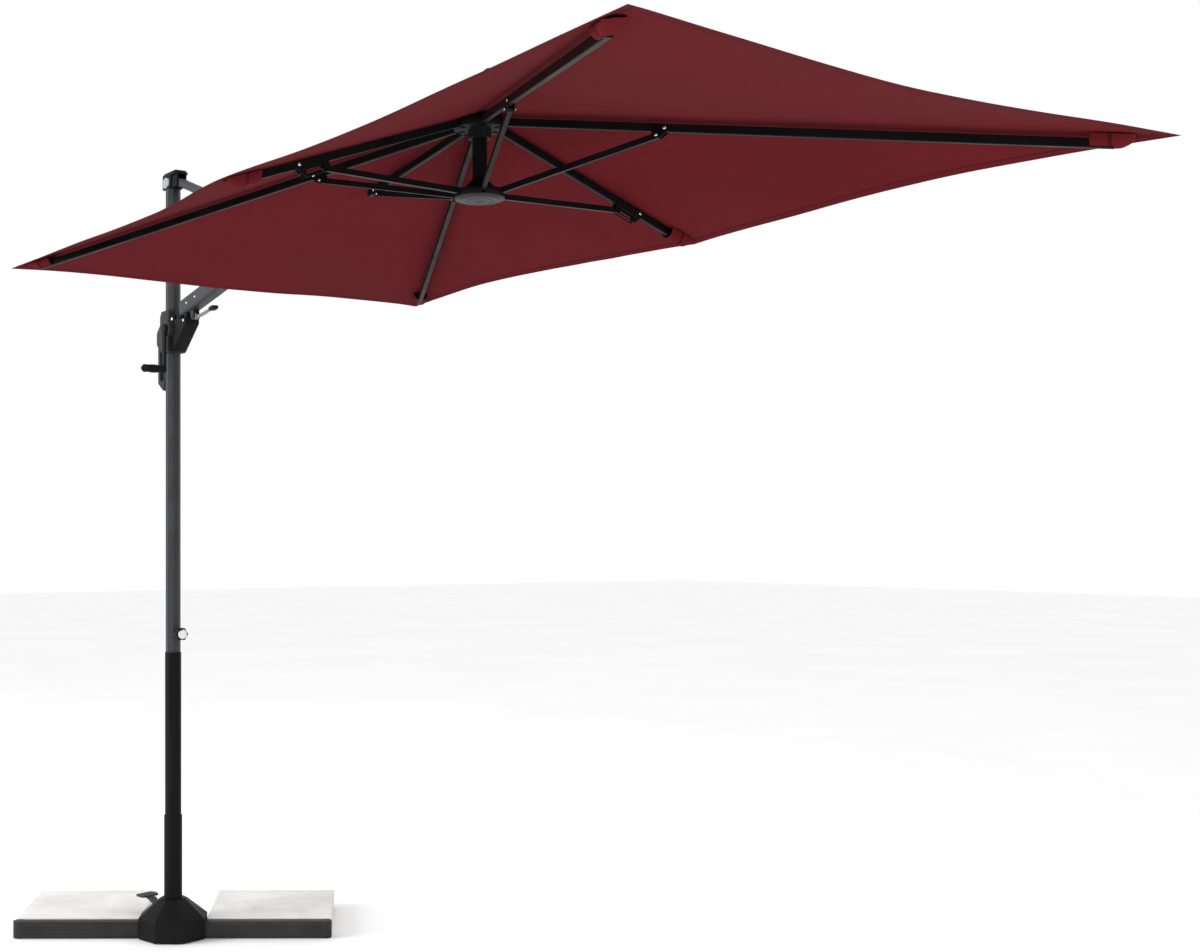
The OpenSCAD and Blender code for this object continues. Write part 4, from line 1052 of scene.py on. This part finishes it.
class PARASOL_OT_base(bpy.types.Operator):
    """Housing, front bars, ballast slabs and pedal with rounded edges"""
    bl_idname = "parasol.base"
    bl_label = "Base"

    def execute(self, context):
        softened("base_housing", sizes().edge_radius, "base", "plastic", 4, 20.0)
        softened("front_bars", 0.0008, "base", "bar", 2)
        softened("pedal", 0.0016, "pedal", "pedal")
        for side in ("left", "right"):
            softened("slab_" + side, 0.0035, "base", "slab", 3)
        return {"FINISHED"}


class PARASOL_OT_finishes(bpy.types.Operator):
    """Procedural finishes on the CAD parts that stay visible"""
    bl_idname = "parasol.finishes"
    bl_label = "Finishes"

    LOOKS = {
        "moulded_black": "plastic", "hub_plastic": "plastic", "disc_grey": "disc",
        "frame_steel": "black_coat", "bar_grey": "bar", "pedal_grey": "pedal",
        "slab_concrete": "slab", "foot_rubber": "rubber", "bush_nylon": "plastic",
        "tube_black": "black_coat", "mast_anthracite": "anthracite", "joint_black": "joint",
        "knob_plastic": "plastic", "lever_silver": "lever", "drum_grey": "nylon",
        "rib_black": "black_coat", "bracket_black": "black_coat", "strut_black": "black_coat",
        "canopy_fabric": "canopy",
    }

    def execute(self, context):
        for part in frame["record"]["subparts"]:
            mesh = NODES[part["node"]].data
            mesh.materials.clear()
            mesh.materials.append(finish(self.LOOKS[part["material_slot"]]))
            pick(NODES[part["node"]])
            bpy.ops.object.shade_smooth_by_angle(angle=math.radians(SMOOTH_ANGLE))
        clear_selection()
        return {"FINISHED"}


# ---- stage ----


class PARASOL_OT_stage(bpy.types.Operator):
    """Camera, pale floor and soft studio light"""
    bl_idname = "parasol.stage"
    bl_label = "Stage"

    CAMERA_PLACE, CAMERA_TURN = (4.638, -2.135, 1.284), 147.657 - 90
    LENS_SHIFT = (0.18, 0.0505)
    # Name, place, aim, size and power of each area light.
    LIGHTS = (("key", (-1.5, -6.0, 3.0), (0.4, 0.0, 1.4), 3.5, 360.0),
              ("fill", (6.5, 2.5, 2.2), (1.4, 0.0, 1.6), 3.0, 30.0),
              ("lift", (4.2, -0.6, 0.25), (1.9, 0.0, 2.2), 2.5, 30.0))

    def execute(self, context):
        scene = context.scene
        lens = bpy.data.cameras.new("main_camera")
        camera = bpy.data.objects.new("main_camera", lens)
        scene.collection.objects.link(camera)
        camera.location = self.CAMERA_PLACE
        camera.rotation_euler = (math.radians(90), 0, math.radians(self.CAMERA_TURN))
        lens.sensor_width = 36.0
        lens.lens = sizes().lens
        lens.shift_x, lens.shift_y = self.LENS_SHIFT
        lens.clip_start, lens.clip_end = 0.05, 200.0
        scene.camera = camera
        scene.view_settings.view_transform = "Standard"

        clear_selection()
        bpy.ops.mesh.primitive_plane_add(size=60.0, location=(0, 0, -0.0005))
        floor = context.object
        floor.name = "studio_floor"
        f = Finish("floor paper", (0.93, 0.93, 0.93), 0.9)
        f.end(f.shade(f.spread(f.noise(f.place(), 0.8), 0.0, 1.0), 0.985, 1.01))
        floor.data.materials.append(f.material)

        world = bpy.data.worlds.new("studio")
        world.use_nodes = True
        background = world.node_tree.nodes["Background"].inputs
        background["Color"].default_value = (1.0, 1.0, 1.0, 1.0)
        background["Strength"].default_value = 1.0
        scene.world = world
        for name, place, aim, size, power in self.LIGHTS:
            light = bpy.data.lights.new(name, "AREA")
            light.size, light.energy = size, power
            lamp = bpy.data.objects.new(name, light)
            lamp.location = place
            lamp.rotation_euler = (Vector(aim) - Vector(place)).to_track_quat("-Z", "Y").to_euler()
            lamp.visible_camera = False
            scene.collection.objects.link(lamp)
        return {"FINISHED"}


OPERATORS = (
    PARASOL_OT_stage, PARASOL_OT_finishes, PARASOL_OT_tip_pockets, PARASOL_OT_canopy,
    PARASOL_OT_apex_cap, PARASOL_OT_hub, PARASOL_OT_rib_hardware, PARASOL_OT_boom_fittings,
    PARASOL_OT_lever, PARASOL_OT_mast, PARASOL_OT_knob, PARASOL_OT_slider, PARASOL_OT_crank,
    PARASOL_OT_base,
)


class PARASOL_PT_panel(bpy.types.Panel):
    """Lists the sizes, the colours and the steps of the parasol"""
    bl_idname = "PARASOL_PT_panel"
    bl_label = "Parasol"
    bl_space_type = "VIEW_3D"
    bl_region_type = "UI"
    bl_category = "Parasol"

    def draw(self, context):
        for group in (sizes(), colours()):
            for key in group.__annotations__:
                self.layout.prop(group, key)
        for operator in OPERATORS:
            self.layout.operator(operator.bl_idname)


CLASSES = (ParasolSizes, ParasolColours, *OPERATORS, PARASOL_PT_panel)


def register():
    for cls in CLASSES:
        bpy.utils.register_class(cls)
    bpy.types.Scene.parasol_sizes = PointerProperty(type=ParasolSizes)
    bpy.types.Scene.parasol_colours = PointerProperty(type=ParasolColours)


def unregister():
    del bpy.types.Scene.parasol_colours
    del bpy.types.Scene.parasol_sizes
    for cls in reversed(CLASSES):
        bpy.utils.unregister_class(cls)


def main():
    register()
    for operator in OPERATORS:
        area, step = operator.bl_idname.split(".")
        getattr(getattr(bpy.ops, area), step)()
    clear_selection()


if __name__ == "__main__":
    main()
